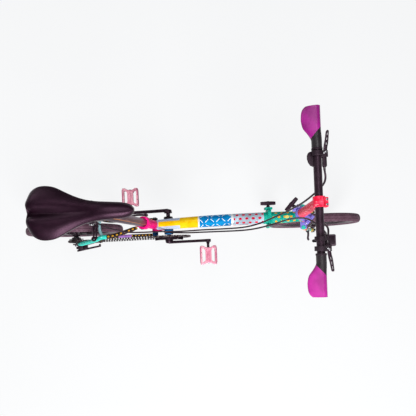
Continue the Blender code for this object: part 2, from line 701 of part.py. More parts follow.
def make_clamp(prefix, seat, out, bar_direction, height, slot):
    """Pressure plate and T-shaped screw lever that close a hinge. seat is on the hinge's edge."""
    up = bar_direction.cross(out).normalized()
    plate_centre = seat + out * (GAP + CLAMP_BLOCK_DEPTH / 2)
    half = CLAMP_BLOCK_WIDTH / 2
    outline = [
        (-half, -height * 0.35), (-half * 0.7, -height / 2), (half * 0.7, -height / 2),
        (half, -height * 0.35), (half, height * 0.35), (half * 0.7, height / 2),
        (-half * 0.7, height / 2), (-half, height * 0.35),
    ]
    clamp = plate("clamp", outline, plate_centre, bar_direction, up, CLAMP_BLOCK_DEPTH)
    foot = seat + out * (CLAMP_BLOCK_DEPTH + 2 * GAP)
    hole = rod("hole", seat - out * 0.02, foot + out * 0.02, CLAMP_STUD_RADIUS + GAP, 10)
    keep(merge("clamp", [clamp], [hole]), prefix + "_clamp_plate", slot, prefix + "_clamp")

    neck = rod("neck", foot, foot + out * LEVER_REACH, 0.0075, 12)
    stud = rod("stud", seat + out * 0.0006, foot + out * 0.004, CLAMP_STUD_RADIUS, 10)
    bar = plate(
        "bar",
        [
            (-LEVER_BAR_LENGTH / 2, -0.0035), (-0.008, -0.0048), (0.008, -0.0048),
            (LEVER_BAR_LENGTH / 2, -0.0035), (LEVER_BAR_LENGTH / 2, 0.0035), (0.008, 0.0048),
            (-0.008, 0.0048), (-LEVER_BAR_LENGTH / 2, 0.0035),
        ],
        foot + out * (LEVER_REACH + LEVER_BAR_WIDTH / 2 - 0.003), bar_direction, up, LEVER_BAR_WIDTH,
    )
    keep(merge("lever", [neck, stud, bar]), prefix + "_lever", "black_metal", prefix + "_lever")


def make_seat_lever():
    """Quick-release lever that closes the seat clamp."""
    pivot = SEAT_LEVER_PIVOT
    hub = rod("hub", pivot - SEAT_UP * 0.004, pivot + SEAT_UP * 0.014, 0.0060, 14)
    blade = plate(
        "blade",
        [(-0.002, -0.004), (SEAT_LEVER_LENGTH, -0.003), (SEAT_LEVER_LENGTH, 0.003), (-0.002, 0.004)],
        pivot + SEAT_UP * 0.007, SEAT_BACK, LEFT, 0.009,
    )
    keep(merge("lever", [hub, blade]), "seat_lever", "black_metal", "seat_lever")


# Seat post and saddle


def make_seat_post():
    """Sliding seat post with a closed top, and the clamp that holds the saddle's rails."""
    top = seat_axis(POST_TOP)
    bottom = top - SEAT_UP * POST_LENGTH
    bore = POST_RADIUS - POST_WALL
    profile = [
        (0.0, POST_RADIUS), (POST_LENGTH, POST_RADIUS), (POST_LENGTH, 0.004),
        (POST_LENGTH - 0.006, 0.004),
        (POST_LENGTH - 0.006, bore), (0.0, bore),
    ]
    keep(
        turned("post", bottom, SEAT_UP, profile, 24, closed=True), "seat_post", "black_metal",
        "seat_post",
    )

    collar_low = top - SEAT_UP * 0.030
    barrel_centre = top + SEAT_UP * 0.0135 - FORWARD * 0.006
    collar = rod("collar", collar_low, top + SEAT_UP * 0.010, POST_RADIUS + 0.0055, 20)
    barrel = rod("barrel", barrel_centre - LEFT * 0.029, barrel_centre + LEFT * 0.029, 0.0125, 16)
    cut = rod("cut", top - SEAT_UP * 0.06, top + SEAT_UP * GAP, POST_RADIUS + GAP, 24)
    keep(merge("clamp", [collar, barrel], [cut]), "saddle_clamp", "black_metal", "seat_post")
    return barrel_centre.z + 0.0125


def saddle_half_width(s):
    """Half of the saddle's width at a distance from its rear edge."""
    knots = [(0.0, 0.040), (0.010, 0.058), (0.026, 0.0695), (0.046, SADDLE_HALF_WIDTH), (0.072, 0.0680),
             (0.100, 0.0535), (0.128, 0.0400), (0.156, 0.0305), (0.185, 0.0255), (0.225, 0.0225),
             (0.252, 0.0205), (0.270, 0.0150), (SADDLE_LENGTH, 0.0060)]
    for (a, wide), (b, narrow) in zip(knots, knots[1:]):
        if s <= b:
            share = (s - a) / (b - a)
            return wide + (narrow - wide) * share
    return knots[-1][1]


def make_saddle(rail_height):
    """Padded saddle with its crown and rear groove, on a pair of rails bent from one wire."""
    stations = [
        0.0, 0.008, 0.022, 0.040, 0.058, 0.080, 0.105, 0.130, 0.158, 0.190, 0.225, 0.252, 0.270,
        SADDLE_LENGTH,
    ]
    shares = [-1.0, -0.93, -0.75, -0.5, -0.25, 0.0, 0.25, 0.5, 0.75, 0.93, 1.0]
    rings = []
    for s in stations:
        x = SADDLE_REAR + s
        half = saddle_half_width(s)
        nose = max(0.0, (s - 0.20) / (SADDLE_LENGTH - 0.20))
        rear = max(0.0, 1.0 - s / 0.020)
        crown_z = SADDLE_TOP - 0.004 * math.sin(
            math.pi * min(1.0, s / 0.20)
        ) - 0.012 * nose**2 - 0.012 * rear**2
        fall = 0.012 + 0.010 * (1 - min(1.0, s / 0.16))
        top = []
        for share in shares:
            groove = SADDLE_GROOVE * max(0.0, 1 - abs(share) * 3.2) * max(0.0, 1 - s / 0.19)
            top.append(Vector((x, half * share, crown_z - fall * abs(share) ** 2.5 - groove)))
        skirt = SADDLE_SKIRT * (
            0.55 + 0.45 * math.sin(math.pi * min(1.0, s / 0.16)) * (s < 0.16)
        ) * (1 - 0.45 * nose)
        bottom_edge = crown_z - max(skirt, 0.018 + fall * 0.5)
        roof = crown_z - 0.017
        inside = min(roof, bottom_edge + 0.010)
        bottom = [
            Vector((x, half * 0.86, bottom_edge)), Vector((x, half * 0.5, inside)),
            Vector((x, -half * 0.5, inside)), Vector((x, -half * 0.86, bottom_edge)),
        ]
        rings.append(top + bottom)
    keep(skin("saddle", rings), "saddle", "saddle_black", "seat_post", 60.0)

    z = rail_height + RAIL_RADIUS + GAP
    rear_x = SADDLE_REAR + 0.060
    nose_x = SADDLE_REAR + SADDLE_LENGTH - 0.052
    left_side = [
        Vector((rear_x - 0.010, 0.034, z + RAIL_REAR_RISE)), Vector((rear_x + 0.012, 0.031, z + 0.0070)),
        Vector((rear_x + 0.040, RAIL_SPREAD + 0.002, z)), Vector((rear_x + 0.105, RAIL_SPREAD, z)),
        Vector((nose_x - 0.030, 0.016, z + 0.0090)), Vector((nose_x - 0.006, 0.009, z + RAIL_NOSE_RISE)),
    ]
    route = smooth_path(left_side + [Vector((p.x, -p.y, p.z)) for p in reversed(left_side)], 0.018)
    keep(
        bent_rod("rails", route, [RAIL_RADIUS] * len(route), 6), "saddle_rails", "steel", "seat_post",
        60.0,
    )


# Rear frame


def make_rear_frame():
    """Chain stays from the pivot, upper stays to the rubber block, and the bridge between them."""
    for name, side in (("left", 1), ("right", -1)):
        y = side * STAY_INNER_SPREAD
        out = side * (REAR_HUB_WIDTH / 2 + DROPOUT_THICKNESS / 2)
        knuckle_in = side * (PIVOT_LUG_HALF + GAP)
        knuckle_out = side * (PIVOT_LUG_HALF + GAP + STAY_KNUCKLE_WIDTH)
        knuckle = rod(
            "knuckle", at_side(REAR_PIVOT, knuckle_in), at_side(REAR_PIVOT, knuckle_out),
            PIVOT_KNUCKLE_RADIUS, 16,
        )
        drop = REAR_HUB.z - REAR_PIVOT.z
        reach = REAR_HUB.x - REAR_PIVOT.x
        stay_points = [
            Vector((REAR_PIVOT.x - 0.004, y, REAR_PIVOT.z)),
            Vector((REAR_PIVOT.x + reach * 0.50, y, REAR_PIVOT.z + drop * 0.50)),
            Vector((REAR_PIVOT.x + reach * 0.62, side * 0.038, REAR_PIVOT.z + drop * 0.62)),
            Vector((REAR_PIVOT.x + reach * 0.84, side * 0.060, REAR_PIVOT.z + drop * 0.84)),
            Vector((REAR_PIVOT.x + reach * 0.97, out, REAR_PIVOT.z + drop * 0.97)),
        ]
        stay = bent_rod("stay", stay_points, [STAY_RADIUS, STAY_RADIUS, STAY_RADIUS, 0.0055, 0.0035], 12)
        disc = rod(
            "disc", at_side(REAR_HUB, out - DROPOUT_THICKNESS / 2),
            at_side(REAR_HUB, out + DROPOUT_THICKNESS / 2), DROPOUT_RADIUS, 16,
        )
        neck = block(
            "neck", at_side(REAR_HUB + UPPER_STAY_DIRECTION * (DROPOUT_NECK / 2), out),
            (DROPOUT_NECK, DROPOUT_THICKNESS, 0.014), UPPER_STAY_DIRECTION, LEFT,
        )
        solids = [knuckle, stay, disc, neck]
        if side < 0:
            hanger = at_side(REAR_HUB + Vector((0.002, 0.0, -0.022)), out)
            solids.append(block("hanger", hanger, (0.016, DROPOUT_THICKNESS, 0.026)))
        pin_cut = rod(
            "pin", REAR_PIVOT - LEFT * 0.06, REAR_PIVOT + LEFT * 0.06, PIVOT_PIN_RADIUS + RUNNING, 12,
        )
        axle_cut = rod("axle", REAR_HUB - LEFT * 0.1, REAR_HUB + LEFT * 0.1, AXLE_RADIUS + GAP, 12)
        keep(merge("stay", solids, [pin_cut, axle_cut]), "chain_stay_" + name, "frame_dark", "rear_frame")

        keep(upper_stay(side, 0.0), "upper_stay_" + name, "frame_turquoise", "rear_frame")

    bridge_half = LEFT * (BRIDGE_SPREAD - UPPER_STAY_RADIUS / 2)
    tube = rod("tube", BRIDGE - bridge_half, BRIDGE + bridge_half, BRIDGE_RADIUS, 16)
    bolt = rod("bolt", BRIDGE, REAR_CALIPER + REAR_CALIPER_OUT * (2 * CALIPER_ARM + 0.006), 0.003, 10)
    keep(
        merge("bridge", [tube, bolt], [upper_stay(1, GAP), upper_stay(-1, GAP)]), "rear_bridge",
        "frame_turquoise", "rear_frame",
    )

    near = block_axis_point(GAP)
    far = block_axis_point(BLOCK_LENGTH)
    length = (far - near).length
    profile = [
        (0.0, BLOCK_RADIUS * 0.7), (0.006, BLOCK_RADIUS), (length - 0.005, BLOCK_RADIUS),
        (length, BLOCK_RADIUS * 0.75),
    ]
    keep(turned("block", near, SEAT_BACK, profile, 18), "suspension_block", "rubber", "rear_frame")
    make_axle("rear_axle", REAR_HUB, REAR_HUB_WIDTH / 2 + DROPOUT_THICKNESS, "rear_frame")


def upper_stay(side, swell):
    """One upper stay, from its dropout over the tyre to the rubber block. swell makes it thicker."""
    out = side * (REAR_HUB_WIDTH / 2 + DROPOUT_THICKNESS / 2)
    start = at_side(REAR_HUB + UPPER_STAY_DIRECTION * (DROPOUT_NECK + GAP), out)
    behind = block_axis_point(BLOCK_LENGTH + UPPER_STAY_RADIUS + 2 * GAP)
    knots = [
        start, start + UPPER_STAY_DIRECTION * 0.040,
        at_side(BRIDGE - UPPER_STAY_DIRECTION * 0.045, side * 0.052),
        at_side(BRIDGE, side * BRIDGE_SPREAD),
        at_side(BRIDGE * 0.66 + behind * 0.34 + UP * 0.008, side * 0.040),
        at_side(BRIDGE * 0.30 + behind * 0.70 + UP * 0.004, side * 0.024),
        at_side(behind - FORWARD * 0.004, side * 0.010),
    ]
    route = smooth_path(knots, 0.030)
    radii = [0.0048 + swell] + [UPPER_STAY_RADIUS + swell] * (len(route) - 1)
    return bent_rod("upper_stay", route, radii, 10)


def block_axis_point(distance):
    """A point of the rubber block's axis, measured out from the seat tube's rear."""
    return seat_axis(BLOCK_HEIGHT) + SEAT_BACK * (SEAT_TUBE_RADIUS + distance)


def make_caliper(end, pivot, hub, out, carriers, slot):
    """Two brake arms on one bolt, each with its pad beside the rim."""
    down = hub - pivot
    down -= out * down.dot(out)
    distance = down.length
    down.normalize()
    pad_down = distance - CALIPER_PAD_RADIUS
    for order, (name, side) in enumerate((("left", 1), ("right", -1))):
        layer = pivot + out * (GAP + CALIPER_ARM / 2 + order * (CALIPER_ARM + GAP))

        def spot(lateral, depth):
            return layer + LEFT * (side * lateral) + down * depth

        pad_face = RIM_WIDTH / 2 + CALIPER_PAD_GAP
        pad_outer = pad_face + CALIPER_PAD_THICKNESS
        outer = [
            (0.0, -0.009), (0.016, -0.004), (0.0335, 0.020), (0.0335, 0.036), (0.0285, pad_down + 0.005),
        ]
        inner = [
            (pad_outer - 0.002, pad_down + 0.005), (pad_outer - 0.001, pad_down - 0.014), (0.0255, 0.032),
            (0.014, 0.012), (0.0, 0.009),
        ]
        outline = outer + inner + [(-0.009, 0.000)]
        arm = plate("arm", [(side * u, v) for u, v in outline], layer, LEFT, down, CALIPER_ARM)
        pad = block(
            "pad", spot((pad_face + pad_outer) / 2, pad_down), (CALIPER_PAD_THICKNESS, 0.009, 0.034),
            LEFT, down,
        )
        tail_end = layer + LEFT * 0.040 - down * (0.004 if side > 0 else 0.020)
        tail_start = layer + LEFT * (side * 0.002)
        tail = block(
            "tail", (tail_start + tail_end) / 2, ((tail_end - tail_start).length, 0.008, CALIPER_ARM),
            tail_end - tail_start, out.cross(tail_end - tail_start),
        )
        hole = rod("hole", pivot - out * 0.02, pivot + out * 0.04, 0.003 + GAP, 10)
        node = end + "_caliper_" + name
        keep(merge(node, [arm, pad, tail], [hole]), node, slot, carriers[order])


# Drive


def make_cranks():
    """Crank arms with their pedal spindles, the chainring and the axle through the bracket."""
    for name, side, eye in (("right", -1, RIGHT_EYE), ("left", 1, LEFT_EYE)):
        reach = (at_side(eye, 0.0) - BRACKET).normalized()
        face = eye.y
        boss = rod(
            "boss", at_side(BRACKET, face), at_side(BRACKET, face + side * CRANK_BOSS_WIDTH),
            CRANK_BOSS_RADIUS, 20,
        )
        middle = face + side * (CRANK_ARM_OFFSET + CRANK_ARM_THICKNESS / 2)
        across = LEFT.cross(reach)
        arm = plate(
            "arm",
            [
                (0.0, -0.0150), (0.05, -0.0105), (CRANK_LENGTH, -0.0095), (CRANK_LENGTH, 0.0095),
                (0.05, 0.0105), (0.0, 0.0150),
            ],
            at_side(BRACKET, middle), reach, across, CRANK_ARM_THICKNESS,
        )
        eye_in = at_side(eye, middle - side * CRANK_ARM_THICKNESS / 2)
        eye_out = at_side(eye, middle + side * (CRANK_ARM_THICKNESS / 2 + 0.0005))
        eye_disc = rod("eye", eye_in, eye_out, CRANK_EYE_RADIUS, 20)
        spindle_end = side * (PEDAL_INNER + PEDAL_WIDTH - 0.006)
        spindle = rod("spindle", at_side(eye, middle), at_side(eye, spindle_end), SPINDLE_RADIUS, 12)
        solids = [boss, arm, eye_disc, spindle]
        cuts = []
        if side < 0:
            star = []
            for i in range(10):
                radius = SPIDER_REACH if i % 2 == 0 else 0.022
                for spread in ((-0.10, 0.10) if i % 2 == 0 else (0.0,)):
                    angle = CRANK_RISE + math.pi / 5 * i + math.pi / 5 + spread
                    star.append((radius * math.cos(angle), radius * math.sin(angle)))
            spider_in = CHAIN_LINE + CHAINRING_THICKNESS / 2 + GAP
            thickness = CRANK_FACE + 0.001 - spider_in
            solids.append(
                plate(
                    "spider", star, at_side(BRACKET, -spider_in - thickness / 2), FORWARD, UP, thickness,
                )
            )
            bore = rod(
                "bore", at_side(BRACKET, 0.0), at_side(BRACKET, -CRANK_FACE - 0.012),
                CRANK_AXLE_RADIUS + GAP, 16,
            )
            cuts.append(bore)
        else:
            solids.append(
                rod(
                    "axle", at_side(BRACKET, LEFT_CRANK_FACE + 0.004),
                    at_side(BRACKET, -CRANK_FACE - 0.0115), CRANK_AXLE_RADIUS, 16,
                )
            )
        keep(merge("crank", solids, cuts), "crank_" + name, "black_metal", "cranks")

    outer = pitch_radius(CHAINRING_TEETH) - CHAIN_CLEARANCE
    low = -CHAIN_LINE - CHAINRING_THICKNESS / 2
    profile = [
        (0.0, outer), (CHAINRING_THICKNESS, outer), (CHAINRING_THICKNESS, CHAINRING_INNER),
        (0.0, CHAINRING_INNER),
    ]
    keep(
        turned("ring", at_side(BRACKET, low), LEFT, profile, 44, closed=True), "chainring", "black_metal",
        "cranks",
    )


def make_pedals():
    """Platform pedals with a narrow waist and an open window before and behind the spindle."""
    for name, side, eye in (("right", -1, RIGHT_EYE), ("left", 1, LEFT_EYE)):
        inner = PEDAL_INNER
        middle = at_side(eye, side * (inner + PEDAL_WIDTH / 2))
        half_length = PEDAL_LENGTH / 2
        half_width = PEDAL_WIDTH / 2
        waist = half_width - 0.007
        outline = [
            (-half_length, -half_width), (-half_length + 0.012, -half_width), (-0.012, -waist),
            (0.012, -waist),
            (half_length - 0.012, -half_width), (half_length, -half_width), (half_length, half_width),
            (half_length - 0.012, half_width), (0.012, waist), (-0.012, waist),
            (-half_length + 0.012, half_width),
            (-half_length, half_width),
        ]
        body_plate = plate("pedal", outline, middle, FORWARD, LEFT, PEDAL_THICKNESS)
        cuts = []
        for end in (-1, 1):
            near = end * PEDAL_WAIST / 2
            far = end * (half_length - PEDAL_RAIL)
            window = [
                (near, -waist + 0.010), (far, -half_width + 0.012), (far, half_width - 0.012),
                (near, waist - 0.010),
            ]
            if end < 0:
                window = window[::-1]
            cuts.append(plate("window", window, middle, FORWARD, LEFT, 0.05))
        cuts.append(
            rod(
                "bore", at_side(eye, side * (inner - 0.01)),
                at_side(eye, side * (inner + PEDAL_WIDTH - 0.0055)), SPINDLE_RADIUS + RUNNING, 12,
            )
        )
        keep(merge("pedal", [body_plate], cuts), "pedal_" + name, "pedal_pink", "pedal_" + name)


def make_sprockets():
    """A stack of three sprockets on the rear hub's driver."""
    outer = pitch_radius(SPROCKET_TEETH) - CHAIN_CLEARANCE
    bore = 0.0086
    face = REAR_HUB_WIDTH / 2 - 0.004
    profile = [
        (-face, outer - 0.004), (-face + 0.003, outer - 0.004), (-face + 0.003, outer), (-0.0435, outer),
        (-0.0435, 0.035),
        (-0.0415, 0.035), (-0.0415, 0.020), (-0.0390, 0.020), (-0.0390, 0.039), (-0.0370, 0.039),
        (-0.0370, 0.016), (-0.0300, 0.016), (-0.0300, bore + 0.0016), (-face, bore),
    ]
    keep(turned("sprockets", REAR_HUB, LEFT, profile, 18, closed=True), "sprockets", "steel", "sprockets")


def make_derailleur():
    """Shifting block under the right dropout, its sprung cage and the two guide wheels."""
    hanger_foot = REAR_HUB.z - 0.022 - 0.013
    cage_face = CHAIN_LINE + CHAIN_WIDTH / 2 + 0.001
    body_in = cage_face + CAGE_THICKNESS + GAP
    top_z = hanger_foot - GAP - 0.006
    upper = block("upper", Vector((REAR_HUB.x + 0.002, -(body_in + 0.013), top_z)), (0.030, 0.026, 0.012))
    lower_centre = Vector((GUIDE_JOCKEY.x - 0.010, -(body_in + 0.015), GUIDE_JOCKEY.z))
    lower = block("lower", lower_centre, (0.036, 0.030, 0.020))
    link = block(
        "link", Vector((REAR_HUB.x + 0.006, -(body_in + 0.020), (top_z + lower_centre.z) / 2)),
        (0.024, 0.018, top_z - lower_centre.z + 0.010),
    )
    keep(merge("body", [upper, lower, link]), "derailleur_body", "black_metal", "derailleur")

    inner_face = CHAIN_LINE - CHAIN_WIDTH / 2 - 0.001
    run = (TENSION_JOCKEY - GUIDE_JOCKEY)
    length = run.length
    run.normalize()
    outline = [(-0.010, -0.004), (-0.004, -0.010), (length + 0.004, -0.009), (length + 0.010, -0.003),
               (length + 0.010, 0.003), (length + 0.004, 0.009), (-0.004, 0.010), (-0.010, 0.004)]
    solids = []
    for face in (cage_face + CAGE_THICKNESS / 2, inner_face - CAGE_THICKNESS / 2):
        solids.append(
            plate("side", outline, at_side(GUIDE_JOCKEY, -face), run, LEFT.cross(run), CAGE_THICKNESS)
        )
    for centre in (GUIDE_JOCKEY, TENSION_JOCKEY):
        solids.append(
            rod(
                "pin", at_side(centre, -cage_face - 0.0015), at_side(centre, -inner_face + 0.0015),
                0.0028, 10,
            )
        )
    keep(merge("cage", solids), "derailleur_cage", "black_metal", "cage")

    for name, centre in (("jockey_upper", GUIDE_JOCKEY), ("jockey_lower", TENSION_JOCKEY)):
        radius = pitch_radius(JOCKEY_TEETH) - CHAIN_CLEARANCE
        wheel = pipe(
            "wheel", at_side(centre, -CHAIN_LINE - JOCKEY_WIDTH / 2),
            at_side(centre, -CHAIN_LINE + JOCKEY_WIDTH / 2), radius, 0.0028 + GAP, 16,
        )
        keep(wheel, name, "black_plastic", name)


def belt_loop(wheels, spacing):
    """Points of a loop round wheels given as (centre, radius, turning sense), in the X-Z plane."""
    tangents = []
    count = len(wheels)
    for i in range(count):
        centre_a, radius_a, sense_a = wheels[i]
        centre_b, radius_b, sense_b = wheels[(i + 1) % count]
        across = centre_b - centre_a
        heading = math.atan2(across.z, across.x)
        angle = heading - math.acos((sense_a * radius_a - sense_b * radius_b) / across.length)
        tangents.append(angle)
    points = []
    for i in range(count):
        centre, radius, sense = wheels[i]
        start = tangents[i - 1] + (math.pi if sense < 0 else 0.0)
        end = tangents[i] + (math.pi if sense < 0 else 0.0)
        turn = (end - start) * sense % (2 * math.pi)
        steps = max(2, math.ceil(turn * radius / spacing))
        for step in range(steps + 1):
            angle = start + sense * turn * step / steps
            points.append(centre + Vector((math.cos(angle), 0.0, math.sin(angle))) * radius)
    return points


def make_chain():
    """The chain as one smooth band along its real line, clear of the wheels that it runs on."""
    wheels = [
        (BRACKET, pitch_radius(CHAINRING_TEETH), 1), (REAR_HUB, pitch_radius(SPROCKET_TEETH), 1),
        (GUIDE_JOCKEY, pitch_radius(JOCKEY_TEETH), -1), (TENSION_JOCKEY, pitch_radius(JOCKEY_TEETH), 1),
    ]
    points = belt_loop(wheels, 0.010)
    rings = []
    for i, point in enumerate(points):
        along = (points[(i + 1) % len(points)] - points[i - 1]).normalized()
        out = LEFT.cross(along)
        ring = []
        for side, lift in ((-1, -1), (1, -1), (1, 1), (-1, 1)):
            ring.append(
                at_side(
                    point, -CHAIN_LINE + side * CHAIN_WIDTH / 2,
                ) + out * (lift * (CHAIN_HEIGHT / 2 - 0.0004))
            )
        rings.append(ring)
    keep(skin("chain", rings, closed=True), "chain", "steel", "rear_frame")


# Front frame, fork and handlepost


def make_front_frame():
    """Front tube, head tube and the front half of the frame hinge, brazed together."""
    low = HEAD_TOP - STEER_UP * HEAD_TUBE_LENGTH
    cup = HEAD_CUP_HEIGHT
    profile = [
        (0.0, HEAD_CUP_RADIUS - 0.002), (0.002, HEAD_CUP_RADIUS), (cup, HEAD_CUP_RADIUS),
        (cup + 0.002, HEAD_TUBE_RADIUS),
    ]
    profile += [(HEAD_TUBE_LENGTH - h, r) for h, r in reversed(profile)]
    head = turned("head", low, STEER_UP, profile, 16)
    target = HEAD_TOP - STEER_UP * (HEAD_TUBE_LENGTH * 0.72)
    start = HINGE + FORWARD * (GAP + HINGE_PLATE / 2)
    points = bezier(start, Vector((0.330, 0.0, HINGE.z + 0.002)), target, 5)
    tube = bent_rod(
        "tube", points, [MAIN_TUBE_RADIUS, MAIN_TUBE_RADIUS, 0.0218, 0.0205, 0.0190], FRAME_TUBE_SIDES,
    )
    end = 1.5 * KNUCKLE_HEIGHT - 0.004
    half = KNUCKLE_HEIGHT / 2
    solids = [head, tube] + hinge_half(1, [(-end, -half), (half, end)])
    bore = rod(
        "bore", low - STEER_UP * 0.05, HEAD_TOP + STEER_UP * 0.05, STEERER_RADIUS + STEERER_CLEARANCE, 14,
    )
    keep(merge("front", solids, [bore, pin_hole()]), "front_frame", "frame_green", "front_frame")


def blade_path(side):
    """The line of one fork blade, from the crown to just above the axle."""
    top = at_side(CROWN, side * BLADE_SPREAD)
    foot = at_side(
        FRONT_HUB + (CROWN - FRONT_HUB).normalized() * (TIP_RADIUS - 0.001), side * BLADE_SPREAD,
    )
    bend = top.lerp(foot, 0.60) - STEER_FORWARD * 0.012
    return bezier(top, bend, foot, 7)


def make_fork():
    """Fork with steerer, crown, raked blades and the hook that holds the folded bike together."""
    steerer_top = HEAD_TOP + STEER_UP * 0.0045
    solids = [rod("steerer", CROWN, steerer_top, STEERER_RADIUS, 20)]
    solids.append(
        block("crown", CROWN, (CROWN_DEPTH, 2 * BLADE_SPREAD + 0.012, CROWN_HEIGHT), STEER_FORWARD, LEFT)
    )
    for side in (-1, 1):
        points = blade_path(side)
        radii = [BLADE_RADIUS + (BLADE_FOOT_RADIUS - BLADE_RADIUS) * i / 6 for i in range(7)]
        solids.append(bent_rod("blade", points, radii, 12))
        tip_in = at_side(FRONT_HUB, side * (FRONT_HUB_WIDTH / 2))
        tip_out = at_side(FRONT_HUB, side * (BLADE_SPREAD + TIP_REACH))
        solids.append(rod("tip", tip_in, tip_out, TIP_RADIUS, 16))
    hook_start = blade_path(-1)[3]
    hook = [
        hook_start, hook_start + Vector((0.002, -0.020, 0.004)),
        hook_start + Vector((0.001, -0.038, 0.000)),
    ]
    hook.append(hook_start + Vector((0.007, -0.045, -0.014)))
    solids.append(bent_rod("hook", hook, [0.0045] * 4, 8))
    solids.append(
        rod("bolt", CROWN, FRONT_CALIPER + STEER_FORWARD * (2 * CALIPER_ARM + 0.006), 0.003, 10)
    )
    axle = rod("axle", FRONT_HUB - LEFT * 0.1, FRONT_HUB + LEFT * 0.1, AXLE_RADIUS + GAP, 12)
    keep(merge("fork", solids, [axle]), "fork", "frame_dark", "fork")
    make_axle("front_axle", FRONT_HUB, BLADE_SPREAD + TIP_REACH, "fork")


def stem_point(out, along, up):
    """A point near the stem hinge: outwards to the pin, along the pin and up the steering axis."""
    return STEM_PLANE + STEM_OUT * out + STEM_PIN_AXIS * along + STEER_UP * up


def make_stem_base():
    """The lower half of the stem hinge, on top of the headset, with two knuckles and the pin."""
    height = STEM_BASE_HEIGHT
    profile = [
        (GAP, HEAD_CUP_RADIUS - 0.001), (0.007, STEM_BASE_RADIUS), (height - 0.001, STEM_BASE_RADIUS),
        (height, STEM_BASE_RADIUS - 0.001),
    ]
    solids = [turned("base", HEAD_TOP, STEER_UP, profile, 20)]
    middle = STEM_KNUCKLE_LENGTH / 2 + GAP
    outer = STEM_KNUCKLE_LENGTH * 1.2
    for side in (-1, 1):
        solids.append(
            rod(
                "knuckle", stem_point(STEM_PIN_REACH, side * middle, 0.0),
                stem_point(STEM_PIN_REACH, side * outer, 0.0), STEM_KNUCKLE_RADIUS, 14,
            )
        )
        centre = stem_point((STEM_PIN_REACH + 0.014) / 2, side * (middle + outer) / 2, -0.0055)
        solids.append(
            block(
                "web", centre, (STEM_PIN_REACH - 0.014, outer - middle - 0.001, 0.010), STEM_OUT,
                STEM_PIN_AXIS,
            )
        )
    pin = rod(
        "pin", stem_point(STEM_PIN_REACH, -outer - 0.002, 0.0),
        stem_point(STEM_PIN_REACH, outer + 0.002, 0.0), STEM_PIN_RADIUS, 12,
    )
    solids.append(pin)
    bore = rod("bore", HEAD_TOP - STEER_UP * 0.02, HEAD_TOP + STEER_UP * 0.005, STEERER_RADIUS + GAP, 20)
    keep(merge("base", solids, [bore]), "stem_base", "stem_lavender", "fork")


def make_handlepost():
    """Folding post from the stem hinge up to the handlebar clamp."""
    lift = GAP
    foot_low = STEM_PLANE + STEER_UP * lift
    foot = turned(
        "foot", foot_low, STEER_UP,
        [(0.0, STEM_BASE_RADIUS - 0.001), (STEM_PLATE_HEIGHT, STEM_BASE_RADIUS - 0.003)], 24,
    )
    start = foot_low + STEER_UP * 0.004
    tube = rod(
        "tube", start, BAR - (BAR - start).normalized() * 0.012, STEM_TUBE_RADIUS, 20,
        STEM_TUBE_TOP_RADIUS,
    )
    half = STEM_KNUCKLE_LENGTH / 2
    knuckle = rod(
        "knuckle", stem_point(STEM_PIN_REACH, -half, 0.0), stem_point(STEM_PIN_REACH, half, 0.0),
        STEM_KNUCKLE_RADIUS, 14,
    )
    web = block(
        "web", stem_point((STEM_PIN_REACH + 0.012) / 2, 0.0, 0.0041 + lift),
        (STEM_PIN_REACH - 0.012, STEM_KNUCKLE_LENGTH, 0.0076), STEM_OUT, STEM_PIN_AXIS,
    )
    clamp = rod(
        "clamp", BAR - LEFT * (STEM_CLAMP_WIDTH / 2), BAR + LEFT * (STEM_CLAMP_WIDTH / 2),
        STEM_CLAMP_RADIUS, 20,
    )
    lug = block("lug", BAR + FORWARD * 0.016, (0.016, STEM_CLAMP_WIDTH - 0.005, 0.020))
    pin_cut = rod(
        "cut", stem_point(STEM_PIN_REACH, -0.03, 0.0), stem_point(STEM_PIN_REACH, 0.03, 0.0),
        STEM_PIN_RADIUS + RUNNING, 12,
    )
    bar_cut = rod("bar", BAR - LEFT * 0.05, BAR + LEFT * 0.05, BAR_RADIUS + GAP, BAR_STEPS)
    post = merge("post", [foot, tube, knuckle, web, clamp, lug], [pin_cut, bar_cut])
    keep(post, "handlepost", "stem_red", "handlepost")


def make_handlebar():
    """Straight handlebar tube and its two shaped grips."""
    half = LEFT * (BAR_LENGTH / 2 - 0.004)
    keep(
        pipe("bar", BAR - half, BAR + half, BAR_RADIUS, BAR_RADIUS - 0.002, BAR_STEPS), "handlebar",
        "black_metal", "handlepost",
    )
    for name, side in (("left", 1), ("right", -1)):
        rings = []
        end = BAR_LENGTH / 2
        stations = [(0.0, 0.0), (0.026, 0.0), (0.042, 0.34), (0.058, 0.80), (0.074, 0.97), (0.086, 1.0),
                    (0.102, 0.93), (0.112, 0.76), (GRIP_LENGTH, 0.55)]
        for distance, wing in stations:
            y = side * (end - GRIP_LENGTH + distance)
            radius = GRIP_RADIUS + (GRIP_END_RADIUS - GRIP_RADIUS) * min(1.0, wing * 1.5)
            ring = []
            for i in range(16):
                angle = 2 * math.pi * i / 16
                across = math.cos(angle)
                back = GRIP_WING * wing * max(0.0, across) ** 1.2
                height = radius * math.sin(angle) * (1 - 0.25 * wing * max(0.0, across)) - 0.20 * back
                ring.append(BAR + Vector((-radius * across - back, y, height)))
            rings.append(ring)
        grip = skin("grip", rings)
        bore = rod(
            "bore", BAR + LEFT * (side * 0.05), BAR + LEFT * (side * (end - 0.0037)), BAR_RADIUS + GAP,
            BAR_STEPS,
        )
        keep(merge("grip", [grip], [bore]), "grip_" + name, "grip_purple", "handlepost", 60.0)


